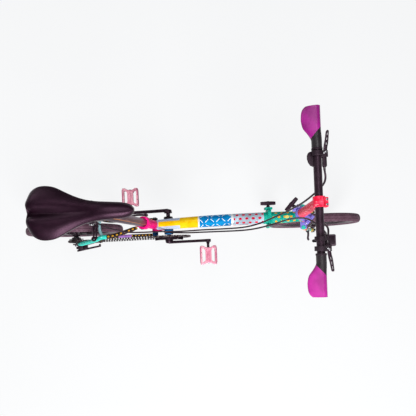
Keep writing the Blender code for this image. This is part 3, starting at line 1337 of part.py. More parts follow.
def make_brake_lever(name, side, perch_y, body_end):
    """Lever perch clamped on the bar, its cable housing, and the lever blade that turns in it."""
    centre = BAR + LEFT * perch_y
    half = LEFT * (PERCH_WIDTH / 2)
    ring = rod("ring", centre - half, centre + half, BAR_RADIUS + 0.006, 18)
    pivot = LEVER_PIVOTS[name]
    inner = pivot.y - side * 0.0085
    housing = Vector((pivot.x - 0.003, (inner + body_end) / 2, pivot.z))
    solids = [ring, block("housing", housing, (0.012, abs(inner - body_end), 0.0110))]
    ear_middle = LEVER_THICKNESS / 2 + 0.0025
    ear_start = pivot.y + side * 0.0045
    ear_end = pivot.y - side * 0.0135
    for lift in (-ear_middle, ear_middle):
        ear = Vector((pivot.x - 0.0040, (ear_start + ear_end) / 2, pivot.z + lift))
        solids.append(block("ear", ear, (0.019, abs(ear_start - ear_end), 0.0040)))
    solids.append(rod("bolt", pivot - UP * ear_middle, pivot + UP * ear_middle, 0.0025, 10))
    if name == "left":
        loop_centre = BAR + Vector((-BAR_RADIUS - 0.0125, perch_y - 0.012, -0.002))
        ring_profile = [(0.0, 0.0120), (0.008, 0.0120), (0.008, 0.0070), (0.0, 0.0070)]
        solids.append(turned("loop", loop_centre - UP * 0.004, UP, ring_profile, 16, closed=True))
        solids.append(
            block(
                "loop_arm", BAR + Vector((-BAR_RADIUS - 0.003, perch_y - 0.004, 0.0)),
                (0.008, 0.014, 0.0075),
            )
        )
    bore = rod("bore", centre - LEFT * 0.04, centre + LEFT * 0.04, BAR_RADIUS + GAP, BAR_STEPS)
    keep(merge("perch", solids, [bore]), "brake_perch_" + name, "black_plastic", "handlepost")

    outline = [
        (-0.005, -0.002), (0.000, -0.0045), (0.016, -0.0035), (0.034, 0.0005), (LEVER_LENGTH, 0.004),
        (LEVER_LENGTH + 0.003, 0.008), (LEVER_LENGTH, 0.012), (0.034, 0.0100), (0.014, 0.0062),
        (0.000, 0.0045),
        (-0.005, 0.002),
    ]
    if side < 0:
        outline = [(-u, v) for u, v in reversed(outline)]
    blade = plate("blade", outline, pivot, LEFT, FORWARD, LEVER_THICKNESS)
    hole = rod("hole", pivot - UP * 0.02, pivot + UP * 0.02, 0.0025 + GAP, 10)
    keep(merge("lever", [blade], [hole]), "brake_lever_" + name, "black_metal", "brake_lever_" + name)


def make_shifter():
    """Gear shifter on the bar, inboard of the right brake lever, with its thumb lever below."""
    centre = BAR + LEFT * SHIFTER_RING_Y
    half = LEFT * 0.006
    ring = rod("ring", centre - half, centre + half, BAR_RADIUS + 0.005, 18)
    case = block("case", BAR + Vector((0.0235, SHIFTER_Y, -SHIFTER_DROP)), (0.035, 0.028, SHIFTER_HEIGHT))
    bore = rod("bore", centre - LEFT * 0.03, centre + LEFT * 0.03, BAR_RADIUS + GAP, BAR_STEPS)
    keep(merge("shifter", [ring, case], [bore]), "shifter", "black_plastic", "handlepost")
    hub = rod("hub", SHIFT_PIVOT - UP * 0.0025, SHIFT_PIVOT + UP * 0.0025, 0.008, 14)
    outline = [(0.0, -0.004), (-0.034, -0.003), (-0.038, 0.0), (-0.034, 0.005), (0.0, 0.004)]
    thumb = plate("thumb", outline, SHIFT_PIVOT, FORWARD, LEFT, 0.004)
    keep(merge("shift", [hub, thumb]), "shift_lever", "black_plastic", "shift_lever")


# Cables


def cable(name, knots, carrier):
    """A round cable along a hand-laid route."""
    points = smooth_path([Vector(knot) for knot in knots], CABLE_STEP)
    curve = bpy.data.curves.new(name, "CURVE")
    curve.dimensions = "3D"
    curve.bevel_depth = CABLE_RADIUS
    curve.bevel_resolution = 2
    curve.use_fill_caps = True
    spline = curve.splines.new("POLY")
    spline.points.add(len(points) - 1)
    empty, origin = BODIES[carrier]
    for slot, point in zip(spline.points, points):
        slot.co = (point.x - origin.x, point.y - origin.y, point.z - origin.z, 1.0)
    obj = bpy.data.objects.new(name, curve)
    bpy.context.collection.objects.link(obj)
    curve.materials.append(material("rubber"))
    obj.parent = empty
    return obj


def make_cables():
    """Rear brake, gear and front brake cables, from the bar down to the pieces that they work."""
    cable("cable_rear_brake", [
        (0.336, 0.0932, 0.966), (0.337, 0.0830, 0.9655), (0.342, 0.066, 0.955), (0.342, 0.052, 0.935),
        (0.332, 0.036, 0.900), (0.322, 0.023, 0.850), (0.313, 0.014, 0.800), (0.289, 0.000, 0.705),
        (0.254, -0.014, 0.622), (0.234, -0.022, 0.582), (0.196, -0.031, 0.543), (0.155, -0.0345, 0.513),
        (0.085, -0.034, 0.474), (0.020, -0.033, 0.446), (-0.050, -0.033, 0.412), (-0.105, -0.032, 0.395),
        (-0.160, -0.030, 0.402), (-0.215, -0.032, 0.432), (-0.275, -0.030, 0.462),
        (-0.340, -0.012, 0.480),
        (-0.392, 0.016, 0.472), (-0.414, 0.0365, 0.446),
    ], "rear_frame")
    cable("cable_gear", [
        (0.338, -0.0892, 0.9505), (0.337, -0.0820, 0.950), (0.330, -0.068, 0.936), (0.322, -0.050, 0.903),
        (0.315, -0.036, 0.860), (0.308, -0.028, 0.800), (0.296, -0.025, 0.720), (0.275, -0.030, 0.640),
        (0.238, -0.038, 0.570), (0.200, -0.043, 0.528), (0.155, -0.0440, 0.492), (0.085, -0.0425, 0.457),
        (0.020, -0.0410, 0.428), (-0.040, -0.0390, 0.393), (-0.095, -0.034, 0.350),
        (-0.130, -0.030, 0.325),
    ], "main_frame")
    cable("cable_front_brake", [
        (0.336, -0.1116, 0.966), (0.337, -0.1000, 0.966), (0.3405, -0.084, 0.964), (0.344, -0.068, 0.950),
        (0.344, -0.054, 0.915), (0.352, -0.040, 0.855), (0.368, -0.028, 0.790), (0.398, -0.010, 0.700),
        (0.428, 0.008, 0.600), (0.448, 0.024, 0.530), (0.4585, 0.036, 0.482),
    ], "fork")


def main():
    """Makes every piece of the bicycle."""
    start_clean()
    make_bodies()
    make_wheel("front", FRONT_HUB, FRONT_HUB_WIDTH, "front_wheel")
    make_wheel("rear", REAR_HUB, REAR_HUB_WIDTH, "rear_wheel")
    make_seat_tube()
    make_bracket()
    make_main_tube()
    make_clamp("hinge", HINGE + LEFT * HINGE_PLATE_LEFT, LEFT, FORWARD, 0.030, "frame_green")
    make_seat_lever()
    make_saddle(make_seat_post())
    make_rear_frame()
    make_caliper(
        "rear", REAR_CALIPER, REAR_HUB, REAR_CALIPER_OUT, ("rear_caliper_left", "rear_caliper_right"),
        "black_metal",
    )
    make_cranks()
    make_pedals()
    make_sprockets()
    make_derailleur()
    make_chain()
    make_front_frame()
    make_fork()
    make_caliper(
        "front", FRONT_CALIPER, FRONT_HUB, STEER_FORWARD, ("front_caliper_left", "front_caliper_right"),
        "black_metal",
    )
    make_stem_base()
    make_clamp(
        "stem", stem_point(-STEM_BASE_RADIUS, 0.0, -0.004), -STEM_OUT, STEM_PIN_AXIS, 0.018,
        "stem_lavender",
    )
    make_handlepost()
    make_handlebar()
    make_brake_lever("left", 1, LEFT_PERCH_Y, LEFT_PERCH_BODY)
    make_brake_lever("right", -1, RIGHT_PERCH_Y, RIGHT_PERCH_BODY)
    make_shifter()
    make_cables()


main()
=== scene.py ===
"""Dresses a folding bicycle with 16-inch wheels for a studio picture from straight above.

Metres. +X points forward, +Y to the rider's left, +Z up.
"""

import math

import bmesh
import bpy
from mathutils import Matrix, Vector


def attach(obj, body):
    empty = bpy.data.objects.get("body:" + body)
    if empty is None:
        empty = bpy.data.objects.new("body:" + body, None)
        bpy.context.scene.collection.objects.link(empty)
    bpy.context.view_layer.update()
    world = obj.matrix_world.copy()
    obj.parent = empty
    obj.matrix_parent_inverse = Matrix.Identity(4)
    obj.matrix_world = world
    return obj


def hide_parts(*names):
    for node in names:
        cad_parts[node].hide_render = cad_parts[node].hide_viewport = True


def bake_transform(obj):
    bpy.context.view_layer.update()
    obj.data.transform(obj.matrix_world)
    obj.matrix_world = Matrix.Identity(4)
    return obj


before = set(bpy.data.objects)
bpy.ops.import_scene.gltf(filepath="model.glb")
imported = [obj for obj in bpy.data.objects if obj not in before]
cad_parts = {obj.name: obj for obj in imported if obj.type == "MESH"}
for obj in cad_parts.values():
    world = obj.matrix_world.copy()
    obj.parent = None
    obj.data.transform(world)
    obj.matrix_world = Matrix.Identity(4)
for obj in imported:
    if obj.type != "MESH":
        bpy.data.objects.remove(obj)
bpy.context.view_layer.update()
bpy.ops.object.select_all(action="DESELECT")

LEFT = Vector((0.0, 1.0, 0.0))
UP = Vector((0.0, 0.0, 1.0))
FORWARD = Vector((1.0, 0.0, 0.0))
GAP = 0.0003

TYRE_RADIUS = 0.2053
HALF_WHEELBASE = 0.5325
STAND_RADIUS = 0.206
STAND_SIDES = 40
FRONT_HUB = Vector((HALF_WHEELBASE, 0.0, STAND_RADIUS * math.cos(math.pi / STAND_SIDES)))
REAR_HUB = Vector((-HALF_WHEELBASE, 0.0, FRONT_HUB.z))
RIM_SEAT = 0.172
RIM_HALF = 0.0125
SPOKES = 20
SPOKE_HOLES = 0.0152
FRONT_SPACING = 0.069
REAR_SPACING = 0.118
DROPOUT = 0.005

HEAD_ANGLE = math.radians(73.0)
STEER_UP = Vector((-math.cos(HEAD_ANGLE), 0.0, math.sin(HEAD_ANGLE)))
STEER_FORWARD = Vector((math.sin(HEAD_ANGLE), 0.0, math.cos(HEAD_ANGLE)))
HEAD_TOP = Vector((0.37, 0.0, 0.618))
HEAD_LENGTH = 0.15
CROWN = HEAD_TOP - STEER_UP * (HEAD_LENGTH + 0.009 + 2 * GAP)
BLADE_SPREAD = 0.041
FORK_OUTSIDE = BLADE_SPREAD + 0.0035

BRACKET = Vector((-0.118, 0.0, 0.289))
CRANK_RISE = math.radians(16.0)
CRANK_FORWARD = Vector((math.cos(CRANK_RISE), 0.0, math.sin(CRANK_RISE)))
CRANK_LENGTH = 0.17
CRANK_FACES = {"right": 0.0596, "left": 0.053}
CRANK_WAYS = {"right": CRANK_FORWARD, "left": -CRANK_FORWARD}
BOLT_CIRCLE = 0.0585
PEDAL_INNER = CRANK_FACES["right"] + 0.006 + 0.012 + 0.0155
PEDAL_WIDTH = 0.08
PEDAL_LENGTH = 0.069
CHAIN_LINE = 0.0485
CHAIN_PITCH = 0.0127
TEETH = {"chainring": 44, "sprocket": 16, "guide": 10}

SEAT_ANGLE = math.radians(77.5)
SEAT_UP = Vector((-math.cos(SEAT_ANGLE), 0.0, math.sin(SEAT_ANGLE)))
SEAT_BACK = Vector((-math.sin(SEAT_ANGLE), 0.0, -math.cos(SEAT_ANGLE)))
SEAT_FOOT = BRACKET - FORWARD * 0.037
SEAT_TUBE_RADIUS = 0.018
POST_RADIUS = 0.0159
POST_TOP = 0.902
POST_LENGTH = 0.52
CLAMP_FOOT = 0.478
BLOCK_HEIGHT = 0.4
BLOCK_LENGTH = 0.034
SADDLE_REAR = -0.457
SADDLE_LENGTH = 0.279
SADDLE_TOP = 0.974

TUBE_FOOT = Vector((-0.158, 0.0, 0.362))
TUBE_BEND = Vector((0.041, 0.0, 0.476))
HINGE = Vector((0.275, 0.0, 0.489))
HINGE_LEFT = 0.031
HINGE_PIN = HINGE - LEFT * HINGE_LEFT
HINGE_FACE = 0.00315

REAR_PIVOT = Vector((-0.18, 0.0, 0.232))
LUG_HALF = 0.0225
KNUCKLE = 0.0165
BRIDGE = Vector((-0.386, 0.0, 0.398))
BRIDGE_SPREAD = 0.045
STAY_OUT = (BRIDGE - REAR_HUB).normalized()
REAR_BRAKE_OUT = STAY_OUT.cross(LEFT)
REAR_BRAKE = BRIDGE + REAR_BRAKE_OUT * 0.01
FRONT_BRAKE = CROWN + STEER_FORWARD * 0.0145

STEM_PLANE = HEAD_TOP + STEER_UP * (0.022 + GAP)
STEM_AXIS = Vector((math.cos(math.radians(45.0)), math.sin(math.radians(45.0)), 0.0))
STEM_AXIS = (STEM_AXIS - STEER_UP * STEM_AXIS.dot(STEER_UP)).normalized()
STEM_OUT = STEM_AXIS.cross(STEER_UP)
STEM_PIN = 0.034

BAR = Vector((0.316, 0.0, 0.972))
BAR_LENGTH = 0.509
BAR_RADIUS = 0.0111
GRIP_LENGTH = 0.117

GUIDE_WHEELS = {
    "upper": REAR_HUB + Vector((0.0275, 0.0, -0.056)),
    "lower": REAR_HUB + Vector((0.0895, 0.0, -0.072)),
}


# Camera, floor and light


def set_camera():
    """The photograph's camera, high above the bicycle and a little off its middle."""
    bpy.ops.object.camera_add(location=(-0.038, -0.122, 2.0524), rotation=(-0.0078, -0.0467, -0.0437))
    camera = bpy.context.object
    camera.data.lens = 35.446
    camera.data.sensor_width = 36.0
    camera.data.shift_x = 0.00077
    camera.data.shift_y = 0.11638
    camera.data.clip_end = 60.0
    bpy.context.scene.camera = camera


LAMPS = (
    ((0.3, -2.2, 2.6), 1.7, 112.0),
    ((0.0, 0.6, 3.7), 1.5, 26.0),
    ((-1.9, 1.9, 2.3), 1.6, 14.0),
)
FLOOR_DROP = 0.0004
FLOOR_SHARE = 0.84
WORLD_LIGHT = 0.2


def set_studio():
    """A pale floor and three large soft lamps, each with its place, width and power."""
    bpy.context.scene.view_settings.view_transform = "Standard"
    bpy.ops.mesh.primitive_plane_add(size=24.0, location=(0.0, 0.0, -FLOOR_DROP))
    floor = bpy.context.object
    floor.name = "floor"
    floor_paint = Finish("floor_paper", roughness=0.9)
    floor_paint.shader.inputs["Base Color"].default_value = (0.86, 0.865, 0.87, 1.0)
    floor_paint.shader.inputs["Specular IOR Level"].default_value = 0.1
    glow = floor_paint.node(
        "ShaderNodeEmission", values={"Color": (0.965, 0.972, 0.98, 1.0), "Strength": 1.0}
    )
    rays = floor_paint.node("ShaderNodeLightPath")
    seen = Wire(floor_paint, rays.outputs["Is Camera Ray"]) + Wire(floor_paint, rays.outputs["Is Glossy Ray"])
    both = floor_paint.node("ShaderNodeMixShader")
    floor_paint.feed(both.inputs[0], seen * FLOOR_SHARE)
    floor_paint.links.new(floor_paint.shader.outputs[0], both.inputs[1])
    floor_paint.links.new(glow.outputs[0], both.inputs[2])
    output = next(n for n in floor_paint.nodes if n.type == "OUTPUT_MATERIAL")
    floor_paint.links.new(both.outputs[0], output.inputs["Surface"])
    floor.data.materials.append(floor_paint.material)

    world = bpy.data.worlds.new("studio")
    world.use_nodes = True
    sky = world.node_tree.nodes["Background"]
    sky.inputs["Color"].default_value = (0.95, 0.97, 1.0, 1.0)
    sky.inputs["Strength"].default_value = WORLD_LIGHT
    bpy.context.scene.world = world
    target = Vector((0.0, 0.0, 0.5))
    for spot, size, power in LAMPS:
        turn = (Vector(spot) - target).to_track_quat("Z", "Y").to_euler()
        bpy.ops.object.light_add(type="AREA", location=spot, rotation=turn)
        lamp = bpy.context.object.data
        lamp.shape = "DISK"
        lamp.size = size
        lamp.energy = power


# Shader sums and finishes


class Wire:
    """A value in a finish that can stand in a sum."""

    def __init__(self, finish, socket):
        self.finish = finish
        self.socket = socket

    def __add__(self, other):
        return self.finish.sum("ADD", self, other)

    def __radd__(self, other):
        return self.finish.sum("ADD", other, self)

    def __sub__(self, other):
        return self.finish.sum("SUBTRACT", self, other)

    def __rsub__(self, other):
        return self.finish.sum("SUBTRACT", other, self)

    def __mul__(self, other):
        return self.finish.sum("MULTIPLY", self, other)

    def __rmul__(self, other):
        return self.finish.sum("MULTIPLY", other, self)

    def __truediv__(self, other):
        return self.finish.sum("DIVIDE", self, other)

    def __gt__(self, other):
        return self.finish.sum("GREATER_THAN", self, other)

    def __lt__(self, other):
        return self.finish.sum("LESS_THAN", self, other)

    def __abs__(self):
        return self.finish.sum("ABSOLUTE", self)


def tint(code):
    """The colour of a web code, as a shader takes it."""
    values = []
    for i in (0, 2, 4):
        part = int(code[i:i + 2], 16) / 255
        values.append(part / 12.92 if part < 0.04045 else ((part + 0.055) / 1.055) ** 2.4)
    return (*values, 1.0)


class Finish:
    """One procedural material. Its nodes come from node() and its sums from Wire."""

    def __init__(self, name, roughness, metallic=0.0, coat=0.0, slot=None):
        self.material = bpy.data.materials.new(name)
        self.material.use_nodes = True
        self.slot = slot
        self.nodes = self.material.node_tree.nodes
        self.links = self.material.node_tree.links
        self.shader = self.nodes["Principled BSDF"]
        self.shader.inputs["Roughness"].default_value = roughness
        self.shader.inputs["Metallic"].default_value = metallic
        self.shader.inputs["Coat Weight"].default_value = coat
        self.shader.inputs["Coat Roughness"].default_value = 0.12
        self.spots = {}

    def node(self, kind, settings=None, values=None):
        """A node of a type with its settings, and the values or wires of its sockets."""
        made = self.nodes.new(kind)
        for key, value in (settings or {}).items():
            setattr(made, key, value)
        for key, value in (values or {}).items():
            self.feed(made.inputs[key], value)
        return made

    def feed(self, socket, value):
        """Sets a socket to a value, or links a wire to it."""
        if isinstance(value, Wire):
            self.links.new(value.socket, socket)
        else:
            socket.default_value = value

    def sum(self, operation, *terms):
        """A Math node on the terms."""
        made = self.node("ShaderNodeMath", {"operation": operation}, dict(enumerate(terms)))
        return Wire(self, made.outputs[0])

    def along(self, source):
        """The three parts of the object's coordinates or of the surface map, in metres."""
        if source not in self.spots:
            coordinates = self.node("ShaderNodeTexCoord")
            parts = self.node("ShaderNodeSeparateXYZ", values={0: Wire(self, coordinates.outputs[source])})
            self.spots[source] = [Wire(self, output) for output in parts.outputs]
        return self.spots[source]

    def noise(self, scale, detail=3.0, stretch=(1.0, 1.0, 1.0)):
        """Even noise from 0 to 1 on the object's coordinates."""
        coordinates = self.node("ShaderNodeTexCoord")
        place = self.node(
            "ShaderNodeMapping", values={0: Wire(self, coordinates.outputs["Object"]), 3: stretch}
        )
        sockets = {"Vector": Wire(self, place.outputs[0]), "Scale": scale, "Detail": detail}
        made = self.node("ShaderNodeTexNoise", values=sockets)
        return Wire(self, made.outputs["Fac"])

    def cells(self, scale):
        """Distance to the nearest of evenly scattered points."""
        spot = Wire(self, self.node("ShaderNodeTexCoord").outputs["Object"])
        made = self.node("ShaderNodeTexVoronoi", values={"Vector": spot, "Scale": scale})
        return Wire(self, made.outputs["Distance"])

    def mix(self, mask, low, high):
        """One colour where the mask is 0 and another where it is 1."""
        made = self.node("ShaderNodeMix", {"data_type": "RGBA"}, {0: mask, 6: low, 7: high})
        return Wire(self, made.outputs[2])

    def ramp(self, value, low, high):
        """0 below the low value, 1 above the high one, and smooth between."""
        made = self.node(
            "ShaderNodeMapRange", {"interpolation_type": "SMOOTHSTEP"},
            {"Value": value, "From Min": low, "From Max": high},
        )
        return Wire(self, made.outputs[0])

    def colour(self, value):
        self.feed(self.shader.inputs["Base Color"], value)

    def rough(self, value):
        self.feed(self.shader.inputs["Roughness"], value)

    def bumps(self, height, depth, strength=1.0):
        """Relief from a height between 0 and 1, in metres of depth."""
        made = self.node("ShaderNodeBump", values={"Height": height, "Distance": depth, "Strength": strength})
        self.links.new(made.outputs[0], self.shader.inputs["Normal"])


def grid_cell(finish, value, pitch, offset=0.0):
    """Place within a repeat, from minus a half to a half, and the repeat's number."""
    scaled = value / pitch + offset
    number = finish.sum("FLOOR", scaled)
    return scaled - number - 0.5, number


def dots(finish, u, v, pitch_u, pitch_v, radius_u, radius_v, shift=0.5):
    """Rows of oval dots, each row shifted against the last."""
    cell_v, row = grid_cell(finish, v, pitch_v, 0.5)
    cell_u, _ = grid_cell(finish, u, pitch_u, row * shift)
    far = finish.sum("POWER", cell_u * (pitch_u / radius_u), 2.0) + finish.sum(
        "POWER", cell_v * (pitch_v / radius_v), 2.0
    )
    return far < 1.0


def herringbone(finish, u, v, pitch, length, width):
    """Short strokes that lean left and right in turn."""
    cell_v, row = grid_cell(finish, v, pitch, 0.5)
    cell_u, column = grid_cell(finish, u, pitch, 0.25)
    odd = finish.sum("MODULO", abs(row + column), 2.0)
    lean = odd * 2.0 - 1.0
    along = (cell_u + cell_v * lean) * (0.7071 * pitch)
    across = (cell_v - cell_u * lean) * (0.7071 * pitch)
    return (abs(along) < length / 2) * (abs(across) < width / 2)


def gloss_paint(name, slot):
    """A painted finish with a clear coat and slight brush marks."""
    made = Finish(name, roughness=0.3, coat=0.03, slot=slot)
    made.shader.inputs["Specular IOR Level"].default_value = 0.07
    made.bumps(made.noise(90.0, 2.0, (0.4, 1.0, 1.0)), 0.00012, 0.5)
    made.rough(0.36 + made.noise(35.0) * 0.18)
    return made


BLACK_GLEAM = (1.0, 0.66, 0.9, 1.0)


def dark_gleam(made, level):
    """The slight warm violet cast of this object's blacks, where they shine."""
    made.shader.inputs["Specular IOR Level"].default_value = level
    made.shader.inputs["Specular Tint"].default_value = BLACK_GLEAM


def worn(finish, code, amount):
    """A web colour with faint lighter and darker patches."""
    base = tint(code)
    shade = finish.noise(28.0, 4.0)
    lighter = tuple(min(1.0, c * 1.12 + 0.01) for c in base[:3]) + (1.0,)
    darker = tuple(c * (1.0 - amount * 2) for c in base[:3]) + (1.0,)
    return finish.mix(finish.ramp(shade, 0.35, 0.65), darker, lighter)


def plain_paint(name, code, slot):
    """One colour of gloss paint."""
    made = gloss_paint(name, slot)
    made.colour(worn(made, code, 0.06))
    return made


def main_tube_paint():
    """Bands round the main tube, each with its own common pattern."""
    made = gloss_paint("main_tube_paint", "frame_white")
    x = made.along("Object")[0]
    u, v, _ = made.along("UV")
    colour = worn(made, "E9ECEF", 0.05)
    yellow = worn(made, "FFC800", 0.05)
    edges = made.sum("MAXIMUM", (abs(v) > 0.0105) * (x < -0.067), x < -0.155)
    colour = made.mix(x < 0.0042, colour, made.mix(edges, yellow, worn(made, "B5C2D8", 0.04)))
    blue = made.mix(
        made.ramp(made.noise(60.0, 4.0, (0.5, 1.0, 1.0)), 0.42, 0.6), tint("0078BC"), tint("0090D0")
    )
    strokes = herringbone(made, u, v, 0.0215, 0.0165, 0.003)
    blue = made.mix(strokes, blue, tint("E4EEF4"))
    colour = made.mix((x > 0.0101) * (x < 0.13), colour, blue)
    spots = dots(made, u, v, 0.024, 0.0165, 0.0058, 0.0048)
    grey = made.mix(spots, worn(made, "AEC0CF", 0.05), tint("D80A34"))
    colour = made.mix((x > 0.1395) * (x < 0.2535), colour, grey)
    colour = made.mix(x < -0.171, colour, worn(made, "F2027D", 0.04))
    colour = made.mix(x > 0.2535, colour, worn(made, "00A48E", 0.05))
    made.colour(colour)
    return made


def front_tube_paint():
    """Green with orange spots, turning pale at the head tube."""
    made = gloss_paint("front_tube_paint", "frame_green")
    x = made.along("Object")[0]
    u, v, _ = made.along("UV")
    green = worn(made, "00A48E", 0.06)
    strokes = dots(made, u, v, 0.0235, 0.0175, 0.0052, 0.004)
    colour = made.mix(strokes, green, tint("EFA21A"))
    cream = dots(made, u + 0.004, v, 0.047, 0.035, 0.0085, 0.006)
    colour = made.mix(cream * (x > 0.318), colour, tint("E9D26A"))
    made.colour(colour)
    return made


def head_tube_paint():
    """Grey-violet with pink rings at both ends."""
    made = gloss_paint("head_tube_paint", "frame_green")
    x, _, z = made.along("Object")
    up = x * STEER_UP.x + z * STEER_UP.z
    top = HEAD_TOP.dot(STEER_UP)
    base = worn(made, "6C6396", 0.07)
    pink = worn(made, "EC4F97", 0.05)
    ring = (up > top - 0.022) * (up < top - 0.013)
    low_ring = (up > top - 0.139) * (up < top - 0.128)
    middle = dots(made, x, up, 0.02, 0.02, 0.003, 0.003)
    colour = made.mix(middle, base, tint("D9D4EE"))
    made.colour(made.mix(ring + low_ring, colour, pink))
    return made


def stem_paint():
    """Red with loose pale brush flecks."""
    made = gloss_paint("stem_paint", "stem_red")
    red = made.mix(made.ramp(made.noise(70.0, 5.0), 0.38, 0.58), tint("F01C40"), tint("FF4A68"))
    flecks = made.ramp(made.noise(150.0, 4.0, (0.55, 1.0, 0.3)), 0.58, 0.66)
    made.colour(made.mix(flecks, red, tint("FF98A2")))
    made.bumps(flecks, 0.0003, 0.6)
    return made


def fork_paint():
    """Turquoise, pink, red and orange bands down the blades."""
    made = gloss_paint("fork_paint", "frame_dark")
    x, _, z = made.along("Object")
    colour = worn(made, "35C7B2", 0.06)
    for low, high, code in ((0.415, 0.47, "F07C1C"), (0.375, 0.407, "E6303A"), (0.3, 0.34, "F18FB2"),
                            (0.222, 0.262, "F4C315"), (0.24, 0.246, "2B2B30")):
        colour = made.mix((z > low) * (z < high), colour, worn(made, code, 0.05))
    spots = dots(made, x, z, 0.018, 0.021, 0.0026, 0.0026)
    colour = made.mix(spots * (z < 0.21), colour, tint("F4F4F4"))
    made.colour(colour)
    return made


def stay_paint():
    """Black with a scatter of yellow dots."""
    made = gloss_paint("chain_stay_paint", "frame_dark")
    u, v, _ = made.along("UV")
    base = worn(made, "1E1219", 0.08)
    spots = dots(made, u, v, 0.015, 0.0102, 0.0034, 0.0022)
    x = made.along("Object")[0]
    colour = made.mix(spots, base, tint("C8921E"))
    violet = worn(made, "9B6CB8", 0.06)
    colour = made.mix((x > -0.343) * (x < -0.285), colour, violet)
    made.colour(colour)
    return made


def upper_stay_paint():
    """Turquoise with pale flecks behind, and black with yellow spots towards the seat tube."""
    made = gloss_paint("upper_stay_paint", "frame_turquoise")
    x = made.along("Object")[0]
    u, v, _ = made.along("UV")
    flecks = dots(made, u, v, 0.027, 0.013, 0.0036, 0.0022)
    behind = made.mix(flecks, worn(made, "35D2C0", 0.06), tint("9FEADF"))
    spots = dots(made, u, v, 0.0165, 0.013, 0.0042, 0.0034)
    front = made.mix(spots, worn(made, "1E1219", 0.08), tint("C8921E"))
    made.colour(made.mix(x > -0.36, behind, front))
    return made


def blue_paint():
    """Deep blue with paler brushed rings, for the bracket, and black on its left."""
    made = gloss_paint("bracket_paint", "frame_blue")
    y = made.along("Object")[1]
    ring, _ = grid_cell(made, y, 0.0145)
    colour = made.mix(abs(ring) < 0.1, worn(made, "00447F", 0.08), tint("1F74B0"))
    made.colour(made.mix(y > 0.018, colour, worn(made, "1C1117", 0.08)))
    return made


def tyre_rubber(name):
    """Dark rubber with fine grain and lighter dusty patches."""
    made = Finish(name, roughness=0.72, slot="rubber")
    grain = made.noise(420.0, 4.0)
    dust = made.noise(26.0, 5.0)
    made.colour(made.mix(made.ramp(dust, 0.4, 0.75), tint("5A404C"), tint("765867")))
    dark_gleam(made, 0.35)
    made.rough(0.6 + grain * 0.25)
    made.bumps(grain, 0.0002, 0.6)
    return made


def black_alloy(name, code="1C1018", roughness=0.34):
    """Anodised or painted black metal, a little brushed and worn."""
    made = Finish(name, roughness=roughness, metallic=0.1, slot="black_metal")
    dark_gleam(made, 0.42)
    streak = made.noise(55.0, 5.0, (0.15, 1.0, 1.0))
    base = tint(code)
    lighter = tuple(c * 1.8 + 0.008 for c in base[:3]) + (1.0,)
    made.colour(made.mix(made.ramp(streak, 0.45, 0.8), base, lighter))
    made.rough(roughness - 0.06 + streak * 0.16)
    made.bumps(made.noise(600.0, 2.0), 0.00004, 0.4)
    return made


def bright_steel(name, code="B9B8BC", roughness=0.26):
    """Turned steel with faint tool lines."""
    made = Finish(name, roughness=roughness, metallic=1.0, slot="steel")
    streak = made.noise(180.0, 3.0, (1.0, 0.1, 1.0))
    base = tint(code)
    made.colour(made.mix(streak, tuple(c * 0.75 for c in base[:3]) + (1.0,), base))
    made.rough(roughness - 0.06 + streak * 0.16)
    return made


def moulded_plastic(name, code="1A1017", slot="black_plastic", roughness=0.5):
    """Moulded black plastic with a fine spark-eroded texture."""
    made = Finish(name, roughness=roughness, slot=slot)
    dark_gleam(made, 0.35)
    grain = made.noise(900.0, 2.0)
    made.colour(worn(made, code, 0.1))
    made.rough(roughness - 0.05 + grain * 0.12)
    made.bumps(grain, 0.00008, 0.5)
    return made


def saddle_leather():
    """Smooth black cover with a pebbled grain and soft sheen."""
    made = Finish("saddle_leather", roughness=0.34, slot="saddle_black")
    dark_gleam(made, 0.33)
    made.shader.inputs["Specular Tint"].default_value = (1.0, 0.52, 0.82, 1.0)
    pebbles = made.cells(520.0)
    creases = made.noise(60.0, 5.0)
    made.colour(made.mix(made.ramp(creases, 0.35, 0.75), tint("10040C"), tint("1B0915")))
    made.rough(0.3 + made.noise(40.0) * 0.1 + pebbles * 0.05)
    made.bumps(pebbles * 0.7 + creases * 0.3, 0.00022, 0.45)
    return made


def grip_rubber():
    """Two mouldings in one grip: magenta palm rest and black sleeve. The left grip's magenta is painted
    darker than the right's, as painted shade.
    """
    made = Finish("grip_rubber", roughness=0.44, slot="grip_purple")
    x, y, z = made.along("Object")
    edge = 0.1685 + (x - 0.301) * 1.08 + abs(z - 0.972) * 0.25
    palm = abs(y) > edge
    grain = made.cells(700.0)
    shade = made.ramp(made.noise(22.0, 3.0), 0.3, 0.7)
    # Painted light and shade: one magenta rubber, as a darker shaded copy on the left grip and a lighter lit
    # copy on the right.
    left = made.mix(shade, tint("860A70"), tint("A41089"))
    right = made.mix(shade, tint("9C1A7E"), tint("BE2A9A"))
    magenta = made.mix(y < 0.0, left, right)
    made.colour(made.mix(palm, worn(made, "1A1017", 0.1), magenta))
    seam = made.ramp(abs(abs(y) - edge), 0.0, 0.001)
    made.bumps(seam * 0.8 + grain * 0.2, 0.0003, 0.6)
    return made


def pedal_alloy():
    """Pink anodised alloy, brushed along the pedal."""
    made = Finish("pedal_alloy", roughness=0.36, metallic=0.25, coat=0.2, slot="pedal_pink")
    streak = made.noise(70.0, 4.0, (1.0, 0.15, 1.0))
    made.shader.inputs["Specular IOR Level"].default_value = 0.25
    made.colour(made.mix(made.ramp(streak, 0.35, 0.7), tint("D67C96"), tint("EDABBA")))
    made.rough(0.3 + streak * 0.16)
    return made


def post_paint():
    """Dark grey post with one thin gold line down its front and fine slide marks."""
    made = Finish("seat_post_alloy", roughness=0.36, metallic=0.2, slot="black_metal")
    dark_gleam(made, 0.4)
    x, y, z = made.along("Object")
    scratches = made.noise(240.0, 3.0, (1.0, 1.0, 0.02))
    base = made.mix(made.ramp(scratches, 0.5, 0.72), tint("4E3A40"), tint("7A6065"))
    base = made.mix(y < -0.01, base, tint("21161B"))
    line = (abs(y + 0.009) < 0.001) * ((x + z * 0.2217) > -0.09)
    made.colour(made.mix(line, base, tint("A8662C")))
    made.rough(0.24 + scratches * 0.2)
    return made


